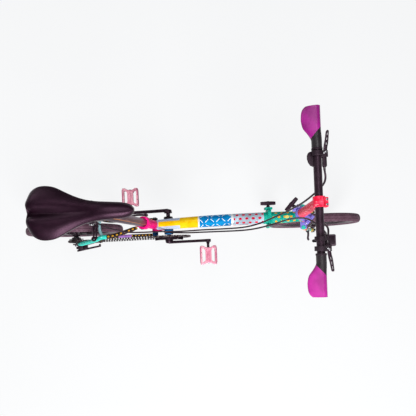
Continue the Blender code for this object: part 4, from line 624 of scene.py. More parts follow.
def cable_jacket():
    """Smooth black cable housing."""
    made = Finish("cable_jacket", roughness=0.42, slot="rubber")
    dark_gleam(made, 0.35)
    made.colour(worn(made, "1E131A", 0.08))
    return made


def chain_steel():
    """Oiled steel links, in brownish and grey patches."""
    made = Finish("chain_steel", roughness=0.36, metallic=0.85, slot="steel")
    grime = made.ramp(made.noise(140.0, 4.0), 0.38, 0.66)
    made.colour(made.mix(grime, tint("3A2A2C"), tint("8E8084")))
    made.rough(0.3 + grime * 0.18)
    return made


# Modelling tools


def alone(obj):
    """Selects one object and nothing else."""
    bpy.ops.object.select_all(action="DESELECT")
    obj.select_set(True)
    bpy.context.view_layer.objects.active = obj
    return obj


def settle():
    """Moves the chosen object's place and turn into its mesh."""
    bpy.ops.object.transform_apply(location=True, rotation=True, scale=True)


MERGE = (bpy.ops.mesh.remove_doubles, {"threshold": 1e-6})
OUTWARDS = (bpy.ops.mesh.normals_make_consistent, {"inside": False})


def edit(*steps):
    """Runs operators with their settings in edit mode, each on the whole mesh."""
    bpy.ops.object.mode_set(mode="EDIT")
    for operator, settings in steps:
        bpy.ops.mesh.select_all(action="SELECT")
        operator(**settings)
    bpy.ops.object.mode_set(mode="OBJECT")


SHARP_EDGE = math.radians(35.0)


def apply(obj, kind, **settings):
    """Adds a modifier, sets it and applies it."""
    modifier = obj.modifiers.new(kind.title(), kind)
    for key, value in settings.items():
        setattr(modifier, key, value)
    alone(obj)
    bpy.ops.object.modifier_apply(modifier=modifier.name)
    return obj


def soften(obj, width, segments=2):
    """Rounds the sharp edges."""
    return apply(obj, "BEVEL", width=width, segments=segments, limit_method="ANGLE", angle_limit=SHARP_EDGE)


def cut(obj, *cutters):
    """Takes other solids out of this one."""
    for cutter in cutters:
        apply(obj, "BOOLEAN", operation="DIFFERENCE", solver="EXACT", use_self=True, object=cutter)
        bpy.data.objects.remove(cutter)
    return obj


def rod(start, end, radius, sides=24, end_radius=None, edge=0.0):
    """A round bar from one point to another, its ends rounded by the edge."""
    if end_radius is None:
        end_radius = radius
    axis = end - start
    turn = axis.to_track_quat("Z", "Y").to_euler()
    bpy.ops.mesh.primitive_cone_add(
        vertices=sides, radius1=radius, radius2=end_radius, depth=axis.length, location=(start + end) / 2,
        rotation=turn
    )
    obj = bpy.context.object
    settle()
    return soften(obj, edge) if edge else obj


def cross_rod(point, start, end, radius, sides=24, end_radius=None, edge=0.0):
    """A round bar straight across the bicycle, from one distance left of the middle to another."""
    return rod(at_side(point, start), at_side(point, end), radius, sides, end_radius, edge)


def centred_rod(centre, axis, half, radius, sides=24, edge=0.0):
    """A round bar that reaches equally far both ways from its centre."""
    return rod(centre - axis * half, centre + axis * half, radius, sides, edge=edge)


def slab(outline, centre, across, along, thickness, edge=0.0):
    """A flat piece: its outline filled, extruded and its edges rounded."""
    bpy.ops.mesh.primitive_circle_add(vertices=len(outline), fill_type="NGON")
    obj = bpy.context.object
    across = across.normalized()
    along = along.normalized()
    normal = across.cross(along)
    for vertex, (u, v) in zip(obj.data.vertices, outline):
        vertex.co = centre + across * u + along * v - normal * (thickness / 2)
    settle()
    edit(
        (bpy.ops.mesh.extrude_region_move, {"TRANSFORM_OT_translate": {"value": normal * thickness}}),
        OUTWARDS
    )
    return soften(obj, edge) if edge else obj


def brick(centre, size, across=FORWARD, along=LEFT, edge=0.0008):
    """A box with rounded edges."""
    half_u, half_v = size[0] / 2, size[1] / 2
    outline = [(-half_u, -half_v), (half_u, -half_v), (half_u, half_v), (-half_u, half_v)]
    return slab(outline, centre, across, along, size[2], edge)


def turned(outline, origin, axis, steps=64):
    """Spins an outline of (height, radius) points about an axis, as on a lathe."""
    axis = axis.normalized()
    start = LEFT if abs(axis.dot(LEFT)) < 0.9 else FORWARD
    side = (start - axis * start.dot(axis)).normalized()
    bpy.ops.mesh.primitive_circle_add(vertices=len(outline), fill_type="NOTHING")
    obj = bpy.context.object
    for vertex, (height, radius) in zip(obj.data.vertices, outline):
        vertex.co = origin + axis * height + side * radius
    settle()
    whole_turn = {"steps": steps, "angle": 2 * math.pi, "center": origin, "axis": axis}
    edit((bpy.ops.mesh.spin, whole_turn), MERGE, OUTWARDS)
    return obj


def washer(centre, axis, outer, inner, width, edge=0.0005, steps=40):
    """A ring with softened corners, centred on a point."""
    half = width / 2
    outline = [
        (-half, inner + edge), (-half, outer - edge), (-half + edge, outer), (half - edge, outer),
        (half, outer - edge), (half, inner + edge), (half - edge, inner), (-half + edge, inner),
    ]
    return turned(outline, centre, axis, steps)


def wire(points, radius, resolution=3):
    """A round wire along the points, with flat ends."""
    curve = bpy.data.curves.new("wire", "CURVE")
    curve.dimensions = "3D"
    curve.bevel_depth = radius
    curve.bevel_resolution = resolution
    curve.use_fill_caps = True
    spline = curve.splines.new("POLY")
    spline.points.add(len(points) - 1)
    for slot, point in zip(spline.points, points):
        slot.co = (*point, 1.0)
    obj = bpy.data.objects.new("wire", curve)
    bpy.context.collection.objects.link(obj)
    alone(obj)
    bpy.ops.object.convert(target="MESH")
    obj = bpy.context.object
    edit(MERGE, OUTWARDS)
    return obj


def join(first, *others):
    """Joins pieces of one finish into one object."""
    alone(first)
    for other in others:
        other.select_set(True)
    if others:
        bpy.ops.object.join()
    return first


def copy_to(obj, matrix):
    """A copy with its own mesh, moved by a matrix."""
    other = obj.copy()
    other.data = obj.data.copy()
    bpy.context.collection.objects.link(other)
    other.data.transform(matrix)
    return other


def turn_about(point, axis, angle):
    """The matrix of a turn about a line."""
    return Matrix.Translation(point) @ Matrix.Rotation(angle, 4, axis) @ Matrix.Translation(-point)


def loft(rings, wrap=False):
    """Skins rings of points. Its map gives metres along and around, from the ring's middle point."""
    bm = bmesh.new()
    loops = [[bm.verts.new(point) for point in ring] for ring in rings]
    layer = bm.loops.layers.uv.new("surface")
    count = len(rings[0])
    centres = [sum(ring, Vector()) / count for ring in rings]
    travelled = [0.0]
    for a, b in zip(centres, centres[1:]):
        travelled.append(travelled[-1] + (b - a).length)
    travelled.append(travelled[-1] + (centres[0] - centres[-1]).length)
    girths = [sum((ring[i] - ring[i - 1]).length for i in range(count)) for ring in rings]
    last = len(rings) if wrap else len(rings) - 1
    for r in range(last):
        s = (r + 1) % len(rings)
        girth = (girths[r] + girths[s]) / 2
        for i in range(count):
            j = (i + 1) % count
            face = bm.faces.new((loops[r][i], loops[r][j], loops[s][j], loops[s][i]))
            spots = ((r, i), (r, i + 1), (r + 1, i + 1), (r + 1, i))
            for corner, (along, around) in zip(face.loops, spots):
                corner[layer].uv = (travelled[along], (around / count - 0.5) * girth)
    if not wrap:
        bm.faces.new(loops[0])
        bm.faces.new(loops[-1])
    bmesh.ops.recalc_face_normals(bm, faces=bm.faces)
    mesh = bpy.data.meshes.new("loft")
    bm.to_mesh(mesh)
    bm.free()
    obj = bpy.data.objects.new("loft", mesh)
    bpy.context.collection.objects.link(obj)
    return obj


def ring_at(centre, along, radius, sides, side):
    """A ring square to a direction. Its first point is at the bottom, so its middle point is on top."""
    side = (side - along * side.dot(along)).normalized()
    up = along.cross(side)
    if up.z < 0:
        up = -up
    points = []
    for i in range(sides):
        angle = 2 * math.pi * i / sides - math.pi / 2
        points.append(centre + side * (radius * math.cos(angle)) + up * (radius * math.sin(angle)))
    return points


def soft_ring(centre, half_u, half_v, sides, power):
    """A ring between an ellipse and a rectangle, with its half widths as vectors."""
    points = []
    for i in range(sides):
        c, s = math.cos(2 * math.pi * i / sides), math.sin(2 * math.pi * i / sides)
        points.append(
            centre + half_u * math.copysign(abs(c) ** power, c) + half_v * math.copysign(abs(s) ** power, s)
        )
    return points


def pipe(points, radii, sides=28, side=LEFT):
    """A lofted tube along a path."""
    rings = []
    for i, point in enumerate(points):
        before = points[max(i - 1, 0)]
        after = points[min(i + 1, len(points) - 1)]
        rings.append(ring_at(point, (after - before).normalized(), radii[i], sides, side))
    return loft(rings)


def bezier(start, bend, end, count):
    """Points of a curve that leaves the start towards the bend."""
    points = []
    for i in range(count):
        t = i / (count - 1)
        points.append(start * (1 - t) ** 2 + bend * (2 * t * (1 - t)) + end * t**2)
    return points


def smooth_path(knots, spacing):
    """Points along a smooth curve through the knots."""
    ends = [knots[0] * 2 - knots[1]] + list(knots) + [knots[-1] * 2 - knots[-2]]
    points = [knots[0]]
    for before, start, end, after in zip(ends, ends[1:], ends[2:], ends[3:]):
        steps = max(1, round((end - start).length / spacing))
        for i in range(1, steps + 1):
            t = i / steps
            points.append(
                (start * 2 + (end - before) * t
                 + (before * 2 - start * 5 + end * 4 - after) * t**2
                 + (start * 3 - before - end * 3 + after) * t**3) * 0.5
            )
    return points


def flipped(outline):
    """The mirror image of outline points, in reversed order, so that it goes on where they end."""
    return [(-u, v) for u, v in reversed(outline)]


def other_side(points):
    """The mirror image of points across the middle plane, in reversed order."""
    return [Vector((p.x, -p.y, p.z)) for p in reversed(points)]


def arc(u, v, radius, angles, radius_v=None):
    """Outline points on a round or oval corner, at angles in degrees."""
    turns = [math.radians(a) for a in angles]
    return [(u + radius * math.cos(a), v + (radius_v or radius) * math.sin(a)) for a in turns]


def around(point, angle, radius):
    """The point at an angle and a distance round a crosswise axis."""
    return point + (FORWARD * math.cos(angle) + UP * math.sin(angle)) * radius


def at_side(point, offset):
    """The same point at another distance left of the middle plane."""
    return Vector((point.x, offset, point.z))


def seat_axis(height):
    """The point of the seat tube's axis at a height."""
    return SEAT_FOOT + SEAT_UP * ((height - SEAT_FOOT.z) / SEAT_UP.z)


def bolt(centre, axis, radius, height):
    """A socket-head bolt, its head's underside at the centre."""
    head = rod(centre, centre + axis * height, radius, 24, edge=0.0004)
    socket = rod(centre + axis * (height * 0.45), centre + axis * (height * 1.6), radius * 0.55, 6)
    return cut(head, socket)


def hex_nut(centre, axis, radius, height):
    """A hexagon nut with chamfered corners, standing on the centre."""
    nut = rod(centre, centre + axis * height, radius, 6)
    return soften(nut, height * 0.08, 1)


PAINT = {}


def place(obj, name, body, paint, *nodes, angle=38.0):
    """Names, paints and shades a finished piece, and hangs it on its body in place of the nodes."""
    finish = PAINT[paint]
    alone(obj)
    settle()
    bpy.ops.object.shade_smooth_by_angle(angle=math.radians(angle))
    obj.name = name
    obj.data.name = name
    obj.data.materials.clear()
    obj.data.materials.append(finish.material)
    if body:
        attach(obj, body)
    if nodes:
        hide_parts(*nodes)


def mix_paints():
    """Makes every finish of the bicycle, by a short name."""
    PAINT.update(
        {
            "main": main_tube_paint(), "front": front_tube_paint(), "head": head_tube_paint(),
            "stem": stem_paint(), "fork": fork_paint(), "stay": stay_paint(), "upper": upper_stay_paint(),
            "bracket": blue_paint(), "pink": plain_paint("clamp_paint", "F6037F", "frame_pink"),
            "green": plain_paint("hinge_paint", "00A48E", "frame_green"),
            "lavender": plain_paint("stem_foot_paint", "8379D2", "stem_lavender"),
            "turquoise": plain_paint("bridge_paint", "83A9AE", "frame_turquoise"),
            # The darker pedal paint colours the end strips, and as painted shade the side faces of the pedal
            # bodies.
            "edging_and_side_shade": plain_paint("pedal_edge_and_side_shade_paint", "A3185F", "pedal_pink"),
            "tyre": tyre_rubber("tyre_rubber"), "black": black_alloy("black_alloy"),
            "satin": black_alloy("satin_black_tube", "1E121A", 0.42),
            "lever": black_alloy("lever_alloy", "20141C", 0.4), "steel": bright_steel("bright_steel"),
            "dark_steel": bright_steel("dark_steel", "6E676C", 0.34),
            "plastic": moulded_plastic("moulded_plastic"), "leather": saddle_leather(), "grip": grip_rubber(),
            "pedal": pedal_alloy(), "post": post_paint(), "cable": cable_jacket(), "chain": chain_steel(),
            "rubber": moulded_plastic("soft_rubber", "1C1218", "rubber", 0.62),
            "casing": moulded_plastic("shifter_casing", "4A3C46", "black_plastic", 0.4)
        }
    )


# Wheels


SHOULDER = (0.0098, 0.0152)
TYRE_STEPS = 144


def make_tyre(end, hub):
    """Tyre with rounded walls, two long grooves and siped shoulder blocks."""
    half = 0.0178
    wall = [(0.0104, RIM_SEAT + 0.001), (0.0112, RIM_SEAT + 0.006), (0.0135, RIM_SEAT + 0.0105),
            (0.0168, RIM_SEAT + 0.016), (half, RIM_SEAT + 0.0205), (0.0172, RIM_SEAT + 0.0245),
            (0.0152, RIM_SEAT + 0.0278), (0.0128, RIM_SEAT + 0.03), (0.0098, RIM_SEAT + 0.0316)]
    crown = [(0.0066, TYRE_RADIUS - 0.0006), (0.0062, TYRE_RADIUS - 0.002), (0.0048, TYRE_RADIUS - 0.002),
             (0.0044, TYRE_RADIUS - 0.0002), (0.0, TYRE_RADIUS)]
    right = wall + crown
    tyre = alone(turned(right + flipped(right[:-1]), hub, LEFT, TYRE_STEPS))
    mesh = tyre.data
    chosen = []
    for face in mesh.polygons:
        off = face.center - hub
        radius = math.hypot(off.x, off.z)
        side = abs(off.y)
        step = int((math.atan2(off.z, off.x) + math.pi) / (2 * math.pi) * TYRE_STEPS)
        shoulder = SHOULDER[0] < side < SHOULDER[1] and radius > RIM_SEAT + 0.026
        chosen.append(shoulder and (step + (1 if off.y > 0 else 0)) % 2 == 0)
    bpy.ops.object.mode_set(mode="EDIT")
    bpy.ops.mesh.select_mode(type="FACE")
    bpy.ops.mesh.select_all(action="DESELECT")
    bpy.ops.object.mode_set(mode="OBJECT")
    for face, wanted in zip(mesh.polygons, chosen):
        face.select = wanted
    bpy.ops.object.mode_set(mode="EDIT")
    bpy.ops.mesh.inset(thickness=0.0007, use_individual=True)
    bpy.ops.transform.shrink_fatten(value=-0.0011)
    bpy.ops.mesh.select_mode(type="VERT")
    bpy.ops.object.mode_set(mode="OBJECT")
    place(tyre, f"tyre_{end}", f"{end}_wheel", "tyre", f"{end}_tyre", angle=50.0)


def make_rim(end, hub):
    """Box-section rim with brake tracks, hooked edges, spoke nipples and a valve."""
    inner = RIM_SEAT - 0.02
    half = [(RIM_HALF, RIM_SEAT + 0.006), (RIM_HALF, RIM_SEAT - 0.007), (0.0119, RIM_SEAT - 0.0076),
            (0.01, inner + 0.0035), (0.008, inner + 0.0008), (0.003, inner)]
    well = [(0.0107, RIM_SEAT + 0.0055), (0.0107, RIM_SEAT - 0.004), (0.006, RIM_SEAT - 0.01)]
    outline = well[::-1] + half + flipped(half) + [(-y, r) for y, r in well]
    rim = turned(outline, hub, LEFT, 120)
    place(rim, f"rim_{end}", f"{end}_wheel", "black", f"{end}_rim")
    nipple = turned(
        [(-0.0008, 0.0), (-0.0008, 0.0024), (0.002, 0.0022), (0.0028, 0.0016), (0.011, 0.0014), (0.011, 0.0)],
        hub + UP * (inner + 0.0004), -UP, 12,
    )
    nipples = [
        copy_to(nipple, turn_about(hub, LEFT, 2 * math.pi * (i + 0.5) / SPOKES - math.pi / 2))
        for i in range(SPOKES)
    ]
    bpy.data.objects.remove(nipple)
    place(join(*nipples), f"nipples_{end}", f"{end}_wheel", "steel")
    base = hub + FORWARD * (inner + 0.001)
    valve = join(rod(base, base - FORWARD * 0.021, 0.003, 16, 0.0026, 0.0005),
                 washer(base - FORWARD * 0.0012, FORWARD, 0.0055, 0.0028, 0.0024))
    cap = rod(base - FORWARD * 0.0215, base - FORWARD * 0.031, 0.0036, 16, 0.003, 0.0006)
    place(join(valve, cap), f"valve_{end}", f"{end}_wheel", "plastic")


def make_hub(end, hub, width):
    """Hub shell with drilled flanges, and round spokes with bent heads."""
    face = width / 2 - 0.0025 - GAP
    flange = 0.021
    half = [(0.003, 0.009), (flange - 0.005, 0.0098), (flange - 0.0022, 0.012), (flange - 0.0016, 0.018),
            (flange + 0.0016, 0.018), (flange + 0.002, 0.013), (flange + 0.005, 0.011),
            (face - 0.001, 0.01), (face, 0.0085), (face, 0.0056)]
    outline = flipped(half) + half
    shell = turned(outline, hub, LEFT, 48)
    holes = []
    angles = [2 * math.pi * (i + 0.5) / SPOKES for i in range(SPOKES)]
    for i, angle in enumerate(angles):
        middle = around(hub, angle, SPOKE_HOLES) + LEFT * (flange if i % 2 else -flange)
        holes.append(centred_rod(middle, LEFT, 0.004, 0.0014, 8))
    cut(shell, join(*holes))
    place(shell, f"hub_shell_{end}", f"{end}_wheel", "black", f"{end}_hub")
    spokes = []
    for i, angle in enumerate(angles):
        side = 1 if i % 2 else -1
        foot = around(hub, angle, SPOKE_HOLES)
        head = foot + LEFT * (side * (flange + 0.003))
        inside = foot + LEFT * (side * (flange - 0.0022))
        rim_end = around(hub, angle, 0.144) + LEFT * (side * 0.0032)
        route = [head, head - LEFT * (side * 0.003), inside, inside + (rim_end - inside) * 0.03, rim_end]
        spokes.append(wire(route, 0.00095, 1))
        spokes.append(rod(head - LEFT * (side * 0.0008), head + LEFT * (side * 0.0006), 0.0022, 10))
    place(join(*spokes), f"spokes_{end}", f"{end}_wheel", "dark_steel")


def make_axle(end, hub, outer_face, body):
    """Axle with washers, hexagon nuts and threaded ends."""
    pieces = []
    for side in (-1, 1):
        seat = hub + LEFT * (side * (outer_face + GAP))
        axis = LEFT * side
        pieces.append(washer(seat + axis * 0.0007, axis, 0.0088, 0.0052, 0.0014, 0.0003))
        pieces.append(hex_nut(seat + axis * 0.0014, axis, 0.0086, 0.005))
        pieces.append(rod(seat - axis * 0.03, seat + axis * 0.0079, 0.0049, 20, edge=0.0005))
    pieces.append(centred_rod(hub, LEFT, outer_face, 0.0048, 20))
    place(join(*pieces), f"axle_{end}", body, "steel", f"{end}_axle")


# Main frame


def make_main_tube():
    """Curved main tube with a mitred foot, a weld bead and the hinge's rear half."""
    points = bezier(TUBE_FOOT, TUBE_BEND, HINGE - FORWARD * 0.0033, 36)
    radii = [0.0205 + 0.002 * min(1.0, (p.x - TUBE_FOOT.x) / 0.2) for p in points]
    tube = pipe(points, radii, 40)
    cut(tube, rod(seat_axis(0.2), seat_axis(0.55), SEAT_TUBE_RADIUS + 0.0002, 64),
        centred_rod(BRACKET, LEFT, 0.045, 0.0198, 48))
    place(tube, "painted_main_tube", "main_frame", "main", "main_tube")
    half = hinge_half(-1, [(-0.0097, 0.0097)])
    place(half, "hinge_rear_half", "main_frame", "green", "main_tube")
    place(weld_bead(-1), "hinge_rear_weld", "main_frame", "green")
    pin = join(
        centred_rod(HINGE_PIN, UP, 0.0275, 0.0039, 24, edge=0.0005),
        rod(HINGE_PIN + UP * 0.0262, HINGE_PIN + UP * 0.028, 0.0062, 24, edge=0.0005),
        rod(HINGE_PIN - UP * 0.028, HINGE_PIN - UP * 0.0262, 0.0062, 24, edge=0.0005),
    )
    place(pin, "hinge_pin_turned", "main_frame", "steel", "hinge_pin")


def weld_bead(facing):
    """The bead of weld between a hinge plate and its tube."""
    section = arc(0.0, 0.0225, 0.0035, range(0, 360, 36), 0.0022)
    return turned(section, HINGE + FORWARD * (facing * 0.0066), FORWARD, 56)


def hinge_half(facing, knuckles):
    """Plate and knuckles of one half of the frame hinge, rounded all over."""
    half = 0.029
    right = -0.0215
    outline = []
    for u, v, radius in ((right + 0.006, half - 0.006, 0.006), (HINGE_LEFT - 0.01, half - 0.01, 0.01)):
        outline += arc(u, v, radius, range(180, 89, -15) if u < 0 else range(90, -1, -15))
    outline += [(u, -v) for u, v in reversed(outline)]
    middle = HINGE + FORWARD * (facing * HINGE_FACE)
    solid = slab(outline, middle, LEFT, UP, 0.006, 0.0012)
    others = []
    for low, high in knuckles:
        others.append(rod(HINGE_PIN + UP * low, HINGE_PIN + UP * high, 0.0075, 28, edge=0.0008))
        web = HINGE_PIN + UP * ((low + high) / 2) + LEFT * 0.0075 + FORWARD * (facing * HINGE_FACE)
        others.append(brick(web, (0.006, 0.013, high - low - 0.0004), edge=0.0006))
    solid = join(solid, *others)
    return cut(solid, centred_rod(HINGE_PIN, UP, 0.05, 0.0042, 24))


def make_clamp(prefix, seat, out, bar_way, height, colour):
    """Pressure plate and T-shaped screw lever that close a hinge."""
    up = bar_way.cross(out).normalized()
    centre = seat + out * (GAP + 0.0045)
    outline = []
    for u, v, start in ((0.01, height / 2 - 0.004, 0), (-0.01, height / 2 - 0.004, 90),
                        (-0.01, -height / 2 + 0.004, 180), (0.01, -height / 2 + 0.004, 270)):
        outline += arc(u, v, 0.0045, range(start, start + 91, 30), 0.004)
    clamp = slab(outline, centre, bar_way, up, 0.009, 0.0012)
    clamp = cut(clamp, rod(seat - out * 0.02, seat + out * 0.03, 0.0034, 20))
    place(clamp, prefix + "_pressure_plate", prefix + "_clamp", colour, prefix + "_clamp_plate")

    foot = seat + out * 0.0096
    neck = turned(
        [
            (0.0, 0.0), (0.0, 0.0072), (0.002, 0.0075), (0.0045, 0.0062), (0.0075, 0.0055), (0.012, 0.0062),
            (0.012, 0.0)
        ], foot, out, 32
    )
    stud = rod(seat + out * 0.0006, foot + out * 0.004, 0.0029, 20, edge=0.0003)
    stations = []
    for i in range(13):
        t = -1 + 2 * i / 12
        thick = 0.0047 - 0.0012 * abs(t) - 0.001 * max(0.0, abs(t) - 0.85) / 0.15
        wide = 0.0078 - 0.001 * abs(t) - 0.001 * max(0.0, abs(t) - 0.85) / 0.15
        stations.append(
            soft_ring(foot + out * 0.0155 + bar_way * (0.029 * t), up * thick, out * wide, 20, 0.6)
        )
    bar = loft(stations)
    pip = rod(foot + out * 0.0226, foot + out * 0.0236, 0.004, 20, edge=0.0003)
    place(join(neck, stud, bar, pip), prefix + "_t_lever", prefix + "_lever", "lever", prefix + "_lever")


def make_seat_clamp():
    """Split clamp with its cross bolt, and the curved quick-release lever."""
    low = seat_axis(CLAMP_FOOT) + SEAT_UP * GAP
    ring = turned(
        [
            (0.0006, 0.0164), (0.0006, 0.0236), (0.0022, 0.024), (0.0298, 0.024), (0.0314, 0.0236),
            (0.0314, 0.0164)
        ], low, SEAT_UP, 64
    )
    middle = low + SEAT_UP * 0.016
    ears = [
        brick(middle + LEFT * 0.0135 + SEAT_BACK * 0.02, (0.017, 0.013, 0.022), SEAT_BACK, LEFT, 0.002),
        brick(middle - LEFT * 0.0055 + SEAT_BACK * 0.0235, (0.016, 0.011, 0.022), SEAT_BACK, LEFT, 0.002),
    ]
    clamp = join(ring, *ears)
    clamp = cut(clamp, rod(low - SEAT_UP * 0.05, low + SEAT_UP * 0.08, POST_RADIUS + 0.0004, 64))
    place(clamp, "seat_clamp_collar", "main_frame", "pink", "seat_clamp")
    cross = rod(
        middle - LEFT * 0.0115 + SEAT_BACK * 0.024, middle + LEFT * 0.0205 + SEAT_BACK * 0.024, 0.003, 20,
        edge=0.0004
    )
    nut = hex_nut(middle - LEFT * 0.0112 + SEAT_BACK * 0.024, -LEFT, 0.0055, 0.004)
    place(join(cross, nut), "seat_clamp_bolt", "main_frame", "steel")

    pivot = seat_axis(CLAMP_FOOT + 0.004) + LEFT * (SEAT_TUBE_RADIUS + 0.0118) + FORWARD * 0.006
    hub = rod(pivot - SEAT_UP * 0.004, pivot + SEAT_UP * 0.014, 0.0059, 28, edge=0.001)
    rings = []
    for i in range(15):
        t = i / 14
        centre = pivot + SEAT_UP * 0.007 + SEAT_BACK * (0.056 * t) + LEFT * (0.0012 * math.sin(math.pi * t))
        wide = 0.004 - 0.0011 * t - (0.0012 if i == 14 else 0.0)
        rings.append(soft_ring(centre, LEFT * wide, SEAT_UP * 0.0044, 20, 0.6))
    place(join(hub, loft(rings)), "seat_quick_lever", "seat_lever", "lever", "seat_lever")


# Seat


def make_seat_post():
    """Seat post tube, and the two-bolt clamp that holds the saddle's rails."""
    top = seat_axis(POST_TOP)
    bottom = top - SEAT_UP * POST_LENGTH
    plug = POST_LENGTH - 0.006
    outline = [(0.0, 0.0139), (0.0, 0.0155), (0.0008, POST_RADIUS), (POST_LENGTH - 0.0008, POST_RADIUS),
               (POST_LENGTH, 0.0155), (POST_LENGTH, 0.004), (plug, 0.004), (plug, 0.0139)]
    place(turned(outline, bottom, SEAT_UP, 64), "seat_post_tube", "seat_post", "post", "seat_post")
    collar = turned(
        [
            (-0.03, 0.0163), (-0.03, 0.0205), (-0.0285, 0.0213), (0.006, 0.0213), (0.0095, 0.019),
            (0.0095, 0.0), (0.0006, 0.0), (0.0006, 0.0163)
        ], top, SEAT_UP, 56
    )
    barrel_centre = top + SEAT_UP * 0.0135 - FORWARD * 0.006
    barrel = centred_rod(barrel_centre, LEFT, 0.0285, 0.0124, 36, edge=0.0012)
    grooves = [
        washer(barrel_centre + LEFT * (s * 0.0085), LEFT, 0.013, 0.0119, 0.0012, 0.0002) for s in (-1, 1)
    ]
    barrel = cut(barrel, *grooves)
    place(join(collar, barrel), "rail_clamp", "seat_post", "black", "saddle_clamp")
    nuts = [hex_nut(barrel_centre + LEFT * (s * 0.0285), LEFT * s, 0.007, 0.005) for s in (-1, 1)]
    nuts.append(bolt(top - SEAT_UP * 0.016 + SEAT_BACK * 0.0205, SEAT_BACK, 0.0042, 0.004))
    place(join(*nuts), "rail_clamp_nuts", "seat_post", "steel")
    return barrel_centre.z + 0.0125


def curve_value(knots, s):
    """A smooth value through (place, value) knots."""
    for i in range(len(knots) - 1):
        if s <= knots[i + 1][0]:
            break
    x0, y0 = knots[max(i - 1, 0)]
    x1, y1 = knots[i]
    x2, y2 = knots[i + 1]
    x3, y3 = knots[min(i + 2, len(knots) - 1)]
    t = min(1.0, max(0.0, (s - x1) / (x2 - x1)))
    m1 = (y2 - y0) / (x2 - x0) * (x2 - x1)
    m2 = (y3 - y1) / (x3 - x1) * (x2 - x1)
    return (
        (2 * t**3 - 3 * t**2 + 1) * y1 + (t**3 - 2 * t**2 + t) * m1 + (-2 * t**3 + 3 * t**2) * y2
        + (t**3 - t**2) * m2
    )


SADDLE_WIDTHS = [
    (0.0, 0.04), (0.01, 0.058), (0.026, 0.0695), (0.046, 0.0725), (0.072, 0.068), (0.1, 0.0535),
    (0.128, 0.04), (0.156, 0.0305), (0.185, 0.0255), (0.225, 0.0225), (0.252, 0.0205), (0.27, 0.015),
    (SADDLE_LENGTH, 0.006)
]


def saddle_section(s):
    """Half width, crown height, edge fall, depths of groove and skirt, and rear rounding at a station."""
    half = curve_value(SADDLE_WIDTHS, s)
    nose = max(0.0, (s - 0.2) / (SADDLE_LENGTH - 0.2))
    rear = max(0.0, 1.0 - s / 0.02)
    crown = SADDLE_TOP - 0.004 * math.sin(math.pi * min(1.0, s / 0.2)) - 0.012 * nose**2 - 0.006 * rear**2
    fall = 0.012 + 0.012 * (1 - min(1.0, s / 0.16))
    groove = 0.0215 * max(0.0, 1 - s / 0.18) ** 0.8
    skirt = 0.02 + 0.012 * math.sin(math.pi * min(1.0, s / 0.17)) - 0.003 * nose
    return half, crown, fall, groove, skirt, rear


def make_saddle(rail_height):
    """Padded saddle with a crown, a long rear valley and a moulded base, on bent rails."""
    count = 46
    rings = []
    shares = [0.6 * math.sin(math.pi / 2 * t) + 0.4 * t**3 for t in (i / 30 for i in range(-30, 31))]
    for i in range(count + 1):
        s = SADDLE_LENGTH * (0.5 - 0.5 * math.cos(math.pi * i / count))
        half, crown, fall, groove, skirt, rear = saddle_section(s)
        x = SADDLE_REAR + s - 0.0026 * rear
        top = []
        for share in shares:
            valley = groove * math.exp(-abs(share * half / 0.0135) ** 1.5)
            height = crown - fall * abs(share) ** 2.6 - valley
            notch = 0.0085 * math.exp(-((share * half) / 0.012) ** 2) * max(0.0, 1 - s / 0.03)
            top.append(Vector((x + notch, half * share, height)))
        edge = crown - skirt - fall * 0.35
        roof = crown - 0.0215
        bottom = [Vector((x, half * 1.005, crown - fall - 0.0045)), Vector((x, half * 0.97, edge + 0.002)),
                  Vector((x, half * 0.88, edge)), Vector((x, half * 0.7, min(roof, edge + 0.006))),
                  Vector((x, half * 0.4, min(roof, edge + 0.01)))]
        rings.append(top + bottom + other_side(bottom))
    shell = loft(rings)
    apply(shell, "SUBSURF", levels=1, render_levels=1)
    place(shell, "saddle_cover", "seat_post", "leather", "saddle", angle=70.0)

    z = rail_height + 0.0035 + GAP
    rear_x = SADDLE_REAR + 0.06
    nose_x = SADDLE_REAR + SADDLE_LENGTH - 0.052
    side = [Vector((rear_x - 0.01, 0.034, z + 0.0147)), Vector((rear_x + 0.012, 0.031, z + 0.007)),
            Vector((rear_x + 0.04, 0.024, z)), Vector((rear_x + 0.105, 0.022, z)),
            Vector((nose_x - 0.03, 0.016, z + 0.009)), Vector((nose_x - 0.006, 0.009, z + 0.0185))]
    route = smooth_path(side + other_side(side), 0.005)
    place(wire(route, 0.0035, 4), "saddle_wire_rails", "seat_post", "steel", "saddle_rails", angle=60.0)


# Rear frame


